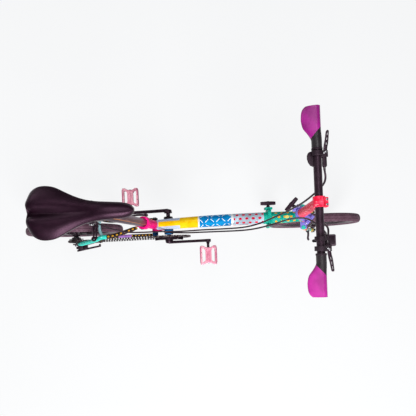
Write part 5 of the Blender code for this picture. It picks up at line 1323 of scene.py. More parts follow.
def make_rear_frame():
    """Chain stays, upper stays, dropouts, the pivot, the bridge and the rubber block."""
    for name, side in (("left", 1), ("right", -1)):
        out = side * (REAR_SPACING / 2 + DROPOUT / 2)
        knuckle_in = side * (LUG_HALF + GAP)
        knuckle_out = side * (LUG_HALF + GAP + KNUCKLE)
        y = side * 0.034
        drop = REAR_HUB - REAR_PIVOT
        knots = [at_side(REAR_PIVOT - FORWARD * 0.004, y)]
        for share, offset in ((0.25, y), (0.5, y), (0.62, side * 0.038), (0.84, side * 0.06), (0.95, out)):
            knots.append(at_side(REAR_PIVOT + drop * share, offset))
        route = smooth_path(knots, 0.008)
        count = len(route)
        radii = [
            0.0065 if i < count * 0.7 else 0.0065 - 0.0027 * (i - count * 0.7) / (count * 0.3)
            for i in range(count)
        ]
        stay = pipe(route, radii, 28)
        knuckle = cross_rod(REAR_PIVOT, knuckle_in, knuckle_out, 0.0125, 40, edge=0.001)
        knuckle = cut(knuckle, centred_rod(REAR_PIVOT, LEFT, 0.06, 0.0054, 32))
        place(knuckle, f"rear_pivot_knuckle_{name}", "rear_frame", "bracket", f"chain_stay_{name}")
        place(stay, f"chain_stay_tube_{name}", "rear_frame", "stay", f"chain_stay_{name}")
        disc = cross_rod(REAR_HUB, out - side * 0.0024, out + side * 0.0024, 0.0158, 40, edge=0.0008)
        neck = brick(
            at_side(REAR_HUB + STAY_OUT * 0.012, out), (0.0215, 0.0048, 0.0135), STAY_OUT, LEFT, 0.0008
        )
        plates = [disc, neck]
        if side < 0:
            plates.append(
                brick(
                    at_side(REAR_HUB + Vector((0.002, 0.0, -0.022)), out), (0.0155, 0.0048, 0.0255),
                    edge=0.0008
                )
            )
        dropout = join(*plates)
        place(dropout, f"dropout_{name}", "rear_frame", "satin", f"chain_stay_{name}")

        start = at_side(REAR_HUB + STAY_OUT * (0.022 + GAP), out)
        behind = seat_axis(BLOCK_HEIGHT) + SEAT_BACK * (SEAT_TUBE_RADIUS + BLOCK_LENGTH + 0.0062 + 2 * GAP)
        knots = [
            start, start + STAY_OUT * 0.04, at_side(BRIDGE - STAY_OUT * 0.045, side * 0.052),
            at_side(BRIDGE, side * BRIDGE_SPREAD),
            at_side(BRIDGE * 0.66 + behind * 0.34 + UP * 0.008, side * 0.04),
            at_side(BRIDGE * 0.3 + behind * 0.7 + UP * 0.004, side * 0.024),
            at_side(behind - FORWARD * 0.004, side * 0.01)
        ]
        route = smooth_path(knots, 0.008)
        last = len(route) - 1
        radii = [min(0.0086, 0.005 + 0.0008 * i, 0.0062 + 0.0012 * (last - i)) for i in range(last + 1)]
        place(pipe(route, radii, 28), f"upper_stay_tube_{name}", "rear_frame", "upper", f"upper_stay_{name}")

    bow = smooth_path([at_side(BRIDGE, s) + FORWARD * f for s, f in
                       ((-0.0425, 0.01), (-0.03, 0.004), (-0.015, -0.0015), (0.0, -0.003), (0.015, -0.0015),
                        (0.03, 0.004), (0.0425, 0.01))], 0.006)
    tube = pipe(bow, [0.006] * len(bow), 28, side=FORWARD)
    place(tube, "bridge_tube", "rear_frame", "turquoise", "rear_bridge")
    make_brake_bolt("rear", BRIDGE, REAR_BRAKE, REAR_BRAKE_OUT, "rear_frame")

    near = seat_axis(BLOCK_HEIGHT) + SEAT_BACK * (SEAT_TUBE_RADIUS + GAP)
    length = BLOCK_LENGTH - GAP
    outline = [(0.0, 0.0), (0.0, 0.012), (0.003, 0.016)]
    for i in range(3):
        base = 0.006 + i * 0.008
        outline += [(base, 0.0188), (base + 0.004, 0.019), (base + 0.0055, 0.0165), (base + 0.007, 0.0165)]
    outline += [(length - 0.003, 0.016), (length, 0.014), (length, 0.0)]
    place(
        turned(outline, near, SEAT_BACK, 48), "rubber_spring_block", "rear_frame", "rubber",
        "suspension_block"
    )
    make_axle("rear", REAR_HUB, REAR_SPACING / 2 + DROPOUT, "rear_frame")
    ends = LUG_HALF + KNUCKLE + 0.003
    pin = join(centred_rod(REAR_PIVOT, LEFT, ends - 0.001, 0.0049, 24),
               bolt(REAR_PIVOT + LEFT * (ends - 0.003), LEFT, 0.0075, 0.0035),
               bolt(REAR_PIVOT - LEFT * (ends - 0.003), -LEFT, 0.0075, 0.0035))
    place(pin, "rear_pivot_bolt", "main_frame", "steel", "rear_pivot_pin")


# Brakes


PAD_RADIUS = 0.166


def make_brake_bolt(end, start, pivot, out, body):
    """The bolt that carries both arms of a brake, with its nut."""
    stud = rod(start, pivot + out * 0.0195, 0.0029, 20, edge=0.0004)
    nut = hex_nut(pivot + out * 0.015, out, 0.005, 0.004)
    place(join(stud, nut), f"{end}_brake_bolt", body, "steel")


def make_brake(end, pivot, hub, out, carrier):
    """Two curved arms on one bolt, with pads in holders and a return spring."""
    down = hub - pivot
    down -= out * down.dot(out)
    pad_down = down.length - PAD_RADIUS
    down.normalize()
    for order, (name, side) in enumerate((("left", 1), ("right", -1))):
        body = f"{end}_caliper_{name}"
        layer = pivot + out * (GAP + 0.0035 + order * (0.007 + GAP))

        def spot(lateral, depth):
            return layer + LEFT * (side * lateral) + down * depth

        outer = [
            (0.0, -0.0085), (0.008, -0.0078), (0.018, -0.0035), (0.027, 0.007), (0.0325, 0.02),
            (0.0335, 0.03), (0.032, pad_down - 0.006), (0.0285, pad_down + 0.005)
        ]
        inner = [
            (0.022, pad_down + 0.005), (0.0215, pad_down - 0.01), (0.0245, 0.034), (0.0245, 0.028),
            (0.0205, 0.0175), (0.013, 0.0105), (0.004, 0.0088), (-0.005, 0.007), (-0.0085, 0.0),
            (-0.005, -0.0065)
        ]
        arm = slab([(side * u, v) for u, v in outer + inner], layer, LEFT, down, 0.0064, 0.0013)
        tail_end = layer + LEFT * 0.038 - down * (0.004 if side > 0 else 0.02)
        tail_start = layer + LEFT * (side * 0.002)
        tail_way = (tail_end - tail_start).normalized()
        length = (tail_end - tail_start).length
        tail = slab(
            [(0.0, -0.0038), (length, -0.003), (length + 0.0022, 0.0), (length, 0.003), (0.0, 0.0038)],
            tail_start, tail_way, out.cross(tail_way), 0.006, 0.0012
        )
        boss = centred_rod(layer, out, 0.0033, 0.0088, 36, edge=0.0008)
        arms = join(arm, tail, boss)
        place(arms, f"{end}_brake_arm_{name}", body, "black", body)
        face = RIM_HALF + 0.002
        shoe = brick(spot(face + 0.0035, pad_down), (0.0068, 0.0088, 0.036), LEFT, down, 0.0014)
        holder = brick(spot(face + 0.0078, pad_down), (0.0022, 0.01, 0.038), LEFT, down, 0.0008)
        place(shoe, f"{end}_brake_pad_{name}", body, "rubber")
        pad_bolt = bolt(spot(0.03, pad_down - 0.001), LEFT * side, 0.0042, 0.0035)
        post = rod(spot(face + 0.0078, pad_down), spot(0.03, pad_down), 0.0026, 16)
        place(join(holder, pad_bolt, post), f"{end}_pad_holder_{name}", body, "dark_steel")
        if end == "rear":
            start = layer + out * (0.006 + 0.0035 * order) - down * 0.005 + LEFT * 0.02
            stop = start - LEFT * 0.07
            link = slab(
                [(0.0, -0.0034), (0.07, -0.0034), (0.07, 0.0034), (0.0, 0.0034)], start, -LEFT, out, 0.006,
                0.0012
            )
            stub = rod(layer, layer + out * (0.006 + 0.0035 * order), 0.006, 24, edge=0.0005)
            if order:
                link = join(link, washer(stop, out.cross(LEFT), 0.01, 0.004, 0.0072, 0.0012))
            place(join(link, stub), f"rear_brake_link_{name}", body, "black")
    spring = smooth_path(
        [
            pivot + out * 0.015 + LEFT * y + down * d
            for y, d in ((-0.02, 0.008), (-0.01, 0.013), (0.0, 0.015), (0.01, 0.013), (0.02, 0.008))
        ], 0.003
    )
    place(wire(spring, 0.0009, 2), f"{end}_brake_spring", carrier, "steel")


# Drive


def pitch_radius(teeth):
    """The radius on which a chain's rollers lie."""
    return CHAIN_PITCH / (2 * math.sin(math.pi / teeth))


def toothed_disc(centre, teeth, thickness, bore, arms=0):
    """A chain wheel: tooth gaps fit the rollers. It has weight holes if arms are asked for."""
    pitch = pitch_radius(teeth)
    outline = []
    for i in range(teeth):
        middle = 2 * math.pi * i / teeth
        step = 2 * math.pi / teeth
        for share, radius in (
            (-0.3, pitch - 0.003), (-0.2, pitch - 0.004), (0.0, pitch - 0.0042), (0.2, pitch - 0.004),
            (0.3, pitch - 0.003), (0.42, pitch + 0.0022), (0.58, pitch + 0.0022)
        ):
            angle = middle + step * share
            outline.append((radius * math.cos(angle), radius * math.sin(angle)))
    disc = slab(outline, centre, FORWARD, UP, thickness)
    cutters = [centred_rod(centre, LEFT, 0.02, bore, 64)]
    for i in range(arms):
        angle = 2 * math.pi * (i + 0.5) / arms
        spot = around(centre, angle, (pitch + bore) / 2)
        cutters.append(centred_rod(spot, LEFT, 0.02, (pitch - bore) * 0.22, 24))
    return cut(disc, *cutters)


def crank_arm(reach, middle, side):
    """A forged arm that narrows to the pedal eye and thins a little at its middle."""
    rings = []
    across = LEFT.cross(reach).normalized()
    for i in range(17):
        t = i / 16
        wide = 0.0135 - 0.0045 * min(1.0, t / 0.35) + 0.001 * t
        thick = (0.0072 if side > 0 else 0.0062) - 0.0004 * math.sin(math.pi * t)
        centre = at_side(BRACKET, middle) + reach * (CRANK_LENGTH * t)
        rings.append(soft_ring(centre, across * wide, LEFT * thick, 24, 0.5))
    return loft(rings)


def chainring_bolt_angle(i):
    """The angle of one of the chainring's five bolts."""
    return CRANK_RISE + 2 * math.pi / 5 * i + math.pi / 5


def make_cranks():
    """Cranks, chainring with bolts, and pedal spindles."""
    for name, side in (("right", -1), ("left", 1)):
        direction = CRANK_WAYS[name]
        face = CRANK_FACES[name] * side
        middle = face + side * 0.012
        eye = at_side(BRACKET + direction * CRANK_LENGTH, face)
        boss = cross_rod(BRACKET, face, face + side * 0.0145, 0.0175, 44, 0.015, 0.0015)
        cap = cross_rod(BRACKET, face + side * 0.0138, face + side * 0.016, 0.011, 32, edge=0.0006)
        arm = crank_arm(direction, middle, side)
        eye_disc = cross_rod(eye, middle - side * 0.006, middle + side * 0.0063, 0.0125, 40, edge=0.0012)
        pieces = [boss, arm, eye_disc, cap]
        if side < 0:
            star = []
            for i in range(5):
                base = chainring_bolt_angle(i)
                for spread, radius in (
                    (-0.34, 0.026), (-0.13, 0.052), (-0.11, 0.062), (0.0, 0.0635), (0.11, 0.062),
                    (0.13, 0.052), (0.34, 0.026)
                ):
                    star.append((radius * math.cos(base + spread), radius * math.sin(base + spread)))
            spider_in = CHAIN_LINE + 0.0015 + GAP
            thickness = CRANK_FACES["right"] + 0.001 - spider_in
            pieces.append(
                slab(star, at_side(BRACKET, -spider_in - thickness / 2), FORWARD, UP, thickness, 0.001)
            )
        else:
            pieces.append(
                cross_rod(BRACKET, CRANK_FACES["left"] + 0.004, -CRANK_FACES["right"] - 0.0115, 0.0085, 32)
            )
        place(join(*pieces), f"crank_arm_{name}", "cranks", "black", f"crank_{name}")
        spindle_end = side * (PEDAL_INNER + PEDAL_WIDTH - 0.006)
        spindle = join(
            cross_rod(eye, middle, spindle_end, 0.0054, 28, edge=0.0008),
            hex_nut(at_side(eye, middle + side * 0.0063), LEFT * side, 0.008, 0.006),
        )
        place(spindle, f"pedal_spindle_{name}", "cranks", "black")

    centre = at_side(BRACKET, -CHAIN_LINE)
    ring = toothed_disc(centre, TEETH["chainring"], 0.003, 0.055)
    place(ring, "toothed_chainring", "cranks", "black", "chainring")
    bolts = []
    for i in range(5):
        spot = around(centre, chainring_bolt_angle(i), BOLT_CIRCLE)
        bolts.append(bolt(at_side(spot, -0.0604), -LEFT, 0.0042, 0.0016))
        bolts.append(cross_rod(spot, -CHAIN_LINE + 0.0015, -CHAIN_LINE + 0.0032, 0.0048, 20, edge=0.0004))
    place(join(*bolts), "chainring_bolts", "cranks", "steel")


def make_pedals():
    """Platform pedals: waisted body, two open windows, grip pins and end plates."""
    for name, side in (("right", -1), ("left", 1)):
        eye = BRACKET + CRANK_WAYS[name] * CRANK_LENGTH
        middle = at_side(eye, side * (PEDAL_INNER + PEDAL_WIDTH / 2))
        half_l, half_w = PEDAL_LENGTH / 2, PEDAL_WIDTH / 2
        waist = half_w - 0.0075
        quarter = [
            (half_l, 0.0), (half_l, half_w - 0.003), (half_l - 0.003, half_w), (half_l - 0.012, half_w),
            (0.0165, half_w - 0.003), (0.012, waist + 0.001), (0.006, waist), (0.0, waist)
        ]
        right_half = quarter + flipped(quarter[:-1])
        outline = right_half + [(u, -v) for u, v in reversed(right_half[1:-1])]
        body = slab(outline, middle, FORWARD, LEFT, 0.017, 0.0022)
        windows = []
        for end in (-1, 1):
            near, far = end * 0.0125, end * (half_l - 0.0085)
            shape = [
                (near, -waist + 0.013), (near + end * 0.006, -half_w + 0.012), (far, -half_w + 0.012),
                (far, half_w - 0.012), (near + end * 0.006, half_w - 0.012), (near, waist - 0.013)
            ]
            windows.append(slab(shape if end > 0 else shape[::-1], middle, FORWARD, LEFT, 0.05, 0.0015))
        bore = cross_rod(
            eye, side * (PEDAL_INNER - 0.01), side * (PEDAL_INNER + PEDAL_WIDTH - 0.0055), 0.0059, 24
        )
        scoops = []
        for lift in (-1, 1):
            scoops.append(slab([(-0.006, -0.022), (0.006, -0.022), (0.006, 0.022), (-0.006, 0.022)],
                               middle + UP * (lift * 0.009), FORWARD, LEFT, 0.0018, 0.0005))
        body = cut(body, *windows, bore, *scoops)
        place(body, f"pedal_body_{name}", f"pedal_{name}", "pedal", f"pedal_{name}")
        # Painted shade: every steep face of the body, outer and window walls alike, takes the darker edge
        # paint.
        body.data.materials.append(PAINT["edging_and_side_shade"].material)
        for face in body.data.polygons:
            face.material_index = int(abs(face.normal.z) < 0.8)
        pins = []
        for end in (-1, 1):
            for y in (-0.032, -0.011, 0.011, 0.032):
                spot = middle + FORWARD * (end * (half_l - 0.0042)) + LEFT * y
                pins.append(centred_rod(spot, UP, 0.0089, 0.0017, 10, edge=0.0002))
        place(join(*pins), f"pedal_pins_{name}", f"pedal_{name}", "dark_steel")
        strips = []
        for end in (-1, 1):
            strips.append(
                brick(middle + FORWARD * (end * (half_l - 0.0002)), (0.0022, 0.062, 0.0178), edge=0.0003)
            )
        place(join(*strips), f"pedal_edge_strips_{name}", f"pedal_{name}", "edging_and_side_shade")


def belt_loop(wheels, spacing):
    """Points of a loop round wheels given as (centre, radius, turning sense)."""
    tangents = []
    count = len(wheels)
    for i in range(count):
        centre_a, radius_a, sense_a = wheels[i]
        centre_b, radius_b, sense_b = wheels[(i + 1) % count]
        across = centre_b - centre_a
        heading = math.atan2(across.z, across.x)
        tangents.append(heading - math.acos((sense_a * radius_a - sense_b * radius_b) / across.length))
    points = []
    for i in range(count):
        centre, radius, sense = wheels[i]
        start = tangents[i - 1] + (math.pi if sense < 0 else 0.0)
        end = tangents[i] + (math.pi if sense < 0 else 0.0)
        turn = (end - start) * sense % (2 * math.pi)
        steps = max(2, math.ceil(turn * radius / spacing))
        for step in range(steps + 1):
            angle = start + sense * turn * step / steps
            points.append(centre + Vector((math.cos(angle), 0.0, math.sin(angle))) * radius)
    return points


def make_chain():
    """The chain's links, outer and inner in turn, along its whole line."""
    wheels = [
        (BRACKET, pitch_radius(TEETH["chainring"]), 1), (REAR_HUB, pitch_radius(TEETH["sprocket"]), 1),
        (GUIDE_WHEELS["upper"], pitch_radius(TEETH["guide"]), -1),
        (GUIDE_WHEELS["lower"], pitch_radius(TEETH["guide"]), 1)
    ]
    path = belt_loop(wheels, 0.0015)
    path.append(path[0])
    lengths = [0.0]
    for a, b in zip(path, path[1:]):
        lengths.append(lengths[-1] + (b - a).length)
    total = lengths[-1]
    count = 2 * round(total / CHAIN_PITCH / 2)
    joints = []
    k = 0
    for i in range(count):
        want = total * i / count
        while lengths[k + 1] < want:
            k += 1
        share = (want - lengths[k]) / max(1e-9, lengths[k + 1] - lengths[k])
        joints.append(at_side(path[k].lerp(path[k + 1], share), -CHAIN_LINE))

    def link(half_width):
        outline = arc(CHAIN_PITCH / 2, 0.0, 0.004, [-50 + 100 * i / 9 for i in range(10)]) + [(0.0, 0.0026)]
        outline += flipped(outline[:-1]) + [(0.0, -0.0026)]
        plates = []
        for side in (-1, 1):
            plates.append(slab(outline, LEFT * (side * half_width), FORWARD, UP, 0.001))
        return join(*plates)

    outer = link(0.0036)
    inner = link(0.0024)
    pin = rod(LEFT * -0.0042, LEFT * 0.0042, 0.0016, 10)
    roller = rod(LEFT * -0.0019, LEFT * 0.0019, 0.0038, 12)
    pieces = []
    for i, point in enumerate(joints):
        after = joints[(i + 1) % count]
        along = after - point
        angle = math.atan2(along.z, along.x)
        turn = Matrix.Rotation(-angle, 4, "Y")
        pieces.append(copy_to(outer if i % 2 else inner, Matrix.Translation((point + after) / 2) @ turn))
        pieces.append(copy_to(pin, Matrix.Translation(point)))
        pieces.append(copy_to(roller, Matrix.Translation(point)))
    for obj in (outer, inner, pin, roller):
        bpy.data.objects.remove(obj)
    chain = join(*pieces)
    place(chain, "chain_links", None, "chain", "chain")
    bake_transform(chain)


def make_gears():
    """Sprockets on their carrier, the derailleur, its cage and the guide wheels."""
    cogs = [toothed_disc(at_side(REAR_HUB, y), teeth, 0.0022, 0.01)
            for teeth, y in ((16, -CHAIN_LINE), (14, -0.0535), (15, -0.0425), (14, -0.038))]
    carrier = turned(
        [
            (-0.056, 0.0092), (-0.056, 0.018), (-0.0545, 0.0195), (-0.032, 0.0195), (-0.03, 0.016),
            (-0.03, 0.0104)
        ], REAR_HUB, LEFT, 48
    )
    place(join(carrier, *cogs), "sprocket_cluster", "sprockets", "dark_steel", "sprockets")

    foot = REAR_HUB.z - 0.035
    cage_face = CHAIN_LINE + 0.0045 + 0.001
    body_in = cage_face + 0.002 + GAP
    top_z = foot - GAP - 0.006
    guide, tension = GUIDE_WHEELS["upper"], GUIDE_WHEELS["lower"]
    knuckle = brick(
        Vector((REAR_HUB.x + 0.002, -(body_in + 0.013), top_z)), (0.029, 0.025, 0.0115), edge=0.0025
    )
    lower = brick(Vector((guide.x - 0.01, -(body_in + 0.015), guide.z)), (0.035, 0.029, 0.019), edge=0.003)
    link_centre = Vector((REAR_HUB.x + 0.006, -(body_in + 0.02), (top_z + guide.z) / 2))
    plates = [
        brick(link_centre + LEFT * (s * 0.0065), (0.022, 0.004, top_z - guide.z + 0.008), edge=0.0012)
        for s in (-1, 1)
    ]
    place(join(knuckle, lower, *plates), "derailleur_parallelogram", "derailleur", "black", "derailleur_body")
    screws = [bolt(Vector((REAR_HUB.x - 0.006, -(body_in + 0.006), top_z + 0.004)), UP, 0.0022, 0.0025),
              bolt(Vector((REAR_HUB.x - 0.006, -(body_in + 0.013), top_z + 0.004)), UP, 0.0022, 0.0025),
              bolt(Vector((guide.x - 0.01, -(body_in + 0.0285), guide.z)), -LEFT, 0.0045, 0.002)]
    place(join(*screws), "derailleur_screws", "derailleur", "steel")
    strut = pipe(
        [Vector((-0.545 + 0.0118 * i, -0.0895 + 0.0021 * i, 0.151)) for i in range(10)], [0.0042] * 10, 20
    )
    upright = rod(Vector((-0.4415, -0.072, 0.151)), Vector((-0.442, -0.0625, 0.153)), 0.0045, 20, edge=0.0008)
    place(join(strut, upright), "derailleur_strut", "derailleur", "black")

    run = tension - guide
    length = run.length
    run.normalize()
    across = LEFT.cross(run)
    sides = []
    for face in (cage_face + 0.001, CHAIN_LINE - 0.0045 - 0.001 - 0.001):
        outline = []
        for u, turn in ((length, -90), (0.0, 90)):
            outline += arc(u, 0.0, 0.0098, range(turn, turn + 181, 20))
        plate = slab(outline, at_side(guide, -face), run, across, 0.0019, 0.0004)
        window = slab([(0.014, -0.004), (length - 0.014, -0.004), (length - 0.014, 0.004), (0.014, 0.004)],
                      at_side(guide, -face), run, across, 0.01, 0.001)
        sides.append(cut(plate, window))
    for centre in (guide, tension):
        sides.append(cross_rod(centre, -cage_face - 0.0034, -CHAIN_LINE + 0.008, 0.0027, 20, edge=0.0004))
    place(join(*sides), "derailleur_side_plates", "cage", "black", "derailleur_cage")
    for name, centre in GUIDE_WHEELS.items():
        centre = at_side(centre, -CHAIN_LINE)
        wheel = toothed_disc(centre, TEETH["guide"], 0.0045, 0.0031, 5)
        shield = washer(centre, LEFT, 0.0068, 0.0031, 0.0066)
        place(join(wheel, shield), f"guide_wheel_{name}", f"jockey_{name}", "plastic", f"jockey_{name}")


# Front frame, fork and handlepost


def make_front_frame():
    """Front tube, head tube with pressed cups, and the hinge's front half."""
    low = HEAD_TOP - STEER_UP * HEAD_LENGTH
    outline = [
        (0.0003, 0.0157), (0.0003, 0.0205), (0.0018, 0.0225), (0.0085, 0.0225), (0.01, 0.0205),
        (0.0115, 0.0185)
    ]
    outline += [(HEAD_LENGTH - h, r) for h, r in reversed(outline)]
    head = turned(outline, low, STEER_UP, 56)
    place(head, "head_tube", "front_frame", "head", "front_frame")
    target = HEAD_TOP - STEER_UP * (HEAD_LENGTH * 0.72)
    start = HINGE + FORWARD * 0.0033
    points = bezier(start, Vector((0.33, 0.0, HINGE.z + 0.002)), target, 16)
    radii = [
        curve_value([(0.0, 0.0225), (0.25, 0.0225), (0.5, 0.0218), (0.75, 0.0205), (1.0, 0.019)], i / 15)
        for i in range(16)
    ]
    tube = cut(pipe(points, radii, 40), rod(low, HEAD_TOP, 0.0183, 56))
    place(tube, "painted_front_tube", "front_frame", "front", "front_frame")
    half = hinge_half(1, [(-0.026, -0.01), (0.01, 0.026)])
    place(half, "hinge_front_half", "front_frame", "green", "front_frame")
    place(weld_bead(1), "hinge_front_weld", "front_frame", "green")


def blade_line(side, count=15):
    """The line of one fork blade."""
    top = at_side(CROWN, side * BLADE_SPREAD)
    foot = at_side(FRONT_HUB + (CROWN - FRONT_HUB).normalized() * 0.012, side * BLADE_SPREAD)
    bend = top.lerp(foot, 0.6) - STEER_FORWARD * 0.012
    return bezier(top, bend, foot, count)


def make_fork():
    """Fork with a rounded crown, raked blades, plate tips and the folding hook."""
    crown = brick(CROWN, (0.0255, 2 * BLADE_SPREAD + 0.0115, 0.0175), STEER_FORWARD, LEFT, 0.0045)
    steerer = rod(CROWN, HEAD_TOP + STEER_UP * 0.0045, 0.0127, 40)
    race = washer(CROWN + STEER_UP * 0.0085, STEER_UP, 0.02, 0.0125, 0.002)
    place(join(crown, steerer, race), "fork_crown", "fork", "lavender", "fork")
    blades, tips = [], []
    for side in (-1, 1):
        points = blade_line(side)
        radii = [0.009 - 0.0025 * i / 14 for i in range(15)]
        blades.append(pipe(points, radii, 28))
        cap = at_side(CROWN, side * BLADE_SPREAD)
        blades.append(rod(cap - STEER_UP * 0.004, cap + STEER_UP * 0.01, 0.009, 32, 0.0082, 0.0015))
        tip_in = at_side(FRONT_HUB, side * 0.0345)
        tip_out = at_side(FRONT_HUB, side * FORK_OUTSIDE)
        tips.append(rod(tip_in, tip_out, 0.013, 40, edge=0.0012))
    place(join(*blades), "fork_blades", "fork", "fork", "fork")
    place(join(*tips), "fork_tips", "fork", "satin", "fork")
    root = blade_line(-1, 7)[3]
    hook = smooth_path([root, root + Vector((0.002, -0.02, 0.004)), root + Vector((0.001, -0.038, 0.0)),
                        root + Vector((0.007, -0.045, -0.014))], 0.003)
    base = rod(root, root + Vector((0.001, -0.0125, 0.002)), 0.0085, 28, 0.007, 0.001)
    place(join(wire(hook, 0.0044, 4), base), "folding_hook", "fork", "satin", "fork")
    make_brake_bolt("front", CROWN, FRONT_BRAKE, STEER_FORWARD, "fork")
    make_axle("front", FRONT_HUB, FORK_OUTSIDE, "fork")


def stem_point(out, along, up):
    """A point near the stem hinge: outwards to the pin, along it and up the steering axis."""
    return STEM_PLANE + STEM_OUT * out + STEM_AXIS * along + STEER_UP * up


def make_stem():
    """Stem hinge in two halves, handlepost tube and the bar clamp with its bolts."""
    outline = [
        (0.0004, 0.0131), (0.0004, 0.021), (0.002, 0.0222), (0.007, 0.0238), (0.008, 0.024), (0.0205, 0.024),
        (0.0219, 0.023), (0.0219, 0.0), (0.0052, 0.0), (0.0052, 0.0131)
    ]
    base = turned(outline, HEAD_TOP, STEER_UP, 56)
    pieces = [base]
    middle, outer = 0.0078, 0.018
    for side in (-1, 1):
        pieces.append(
            rod(
                stem_point(STEM_PIN, side * middle, 0.0), stem_point(STEM_PIN, side * outer, 0.0), 0.007, 28,
                edge=0.0008
            )
        )
        centre = stem_point(0.024, side * (middle + outer) / 2, -0.0055)
        pieces.append(brick(centre, (0.02, 0.0092, 0.01), STEM_OUT, STEM_AXIS, 0.0008))
    place(join(*pieces), "stem_hinge_base", "fork", "lavender", "stem_base")
    pin = rod(
        stem_point(STEM_PIN, -outer - 0.0018, 0.0), stem_point(STEM_PIN, outer + 0.0018, 0.0), 0.0034, 24,
        edge=0.0005
    )
    place(pin, "stem_hinge_pin", "fork", "steel")

    foot_low = STEM_PLANE + STEER_UP * GAP
    foot = turned(
        [
            (0.0, 0.0), (0.0, 0.0225), (0.001, 0.0234), (0.0055, 0.023), (0.009, 0.0205), (0.0125, 0.0175),
            (0.0125, 0.0)
        ], foot_low, STEER_UP, 56
    )
    knuckle = rod(
        stem_point(STEM_PIN, -0.0074, 0.0), stem_point(STEM_PIN, 0.0074, 0.0), 0.007, 28, edge=0.0008
    )
    web = brick(stem_point(0.023, 0.0, 0.0044), (0.022, 0.0146, 0.0075), STEM_OUT, STEM_AXIS, 0.0008)
    place(join(foot, knuckle, web), "stem_hinge_top", "handlepost", "lavender", "handlepost")
    start = foot_low + STEER_UP * 0.004
    way = (BAR - start).normalized()
    count = 30
    points = [start.lerp(BAR - way * 0.012, i / (count - 1)) for i in range(count)]
    radii = [0.016 - 0.0025 * i / (count - 1) for i in range(count)]
    place(pipe(points, radii, 40), "handlepost_tube", "handlepost", "stem", "handlepost")
    clamp = washer(BAR, LEFT, 0.0165, BAR_RADIUS + 0.0002, 0.029, 0.0012, 56)
    clamp = cut(clamp, brick(BAR + Vector((0.0082, 0.0, 0.013)), (0.0042, 0.05, 0.012), edge=0.0001))
    lugs = [
        brick(BAR + Vector((0.0188, -0.002, z)), (0.0086, 0.027, 0.0086), edge=0.0022)
        for z in (-0.0054, 0.0054)
    ]
    place(join(clamp, *lugs), "handlebar_clamp", "handlepost", "stem", "handlepost")
    bolts = [
        bolt(BAR + FORWARD * 0.0185 + LEFT * y + UP * 0.0088, UP, 0.0032, 0.0026) for y in (-0.0088, 0.0048)
    ]
    place(join(*bolts), "handlebar_clamp_bolts", "handlepost", "steel")


# Handlebar


def make_handlebar():
    """Bar tube and the two winged grips."""
    half = BAR_LENGTH / 2 - 0.004
    outline = [
        (-half, 0.0091), (-half, 0.0108), (-half + 0.0003, BAR_RADIUS), (half - 0.0003, BAR_RADIUS),
        (half, 0.0108), (half, 0.0091)
    ]
    place(turned(outline, BAR, LEFT, 56), "handlebar_tube", "handlepost", "satin", "handlebar")
    wings = [
        (0.0, 0.0), (0.026, 0.0), (0.042, 0.34), (0.058, 0.8), (0.074, 0.97), (0.086, 1.0), (0.102, 0.93),
        (0.112, 0.76), (GRIP_LENGTH, 0.55)
    ]
    for name, side in (("left", 1), ("right", -1)):
        end = BAR_LENGTH / 2
        rings = []
        distances = [GRIP_LENGTH * i / 44 for i in range(45)] + [GRIP_LENGTH]
        for order, distance in enumerate(distances):
            wing = max(0.0, curve_value(wings, distance))
            y = side * (end - GRIP_LENGTH + distance)
            radius = 0.0138 - 0.0014 * min(1.0, wing * 1.5)
            pinch = 1.0
            if order == 0 or order == len(distances) - 1:
                pinch = 0.93
            ring = []
            for i in range(48):
                angle = 2 * math.pi * i / 48
                across = math.cos(angle)
                back = 0.0265 * wing * max(0.0, across) ** 1.2
                height = radius * math.sin(angle) * (1 - 0.25 * wing * max(0.0, across)) - 0.2 * back
                ring.append(BAR + Vector(((-radius * across - back) * pinch, y, height * pinch)))
            rings.append(ring)
        grip = cut(
            loft(rings),
            rod(BAR + LEFT * (side * 0.05), BAR + LEFT * (side * (end - 0.0037)), BAR_RADIUS + 0.0002, 56)
        )
        place(grip, f"winged_grip_{name}", "handlepost", "grip", f"grip_{name}", angle=50.0)
        ring_y = side * (end - GRIP_LENGTH + 0.003)
        collar = washer(BAR + LEFT * ring_y, LEFT, 0.0149, 0.0135, 0.0055, 0.0006)
        place(collar, f"grip_collar_{name}", "handlepost", "plastic")


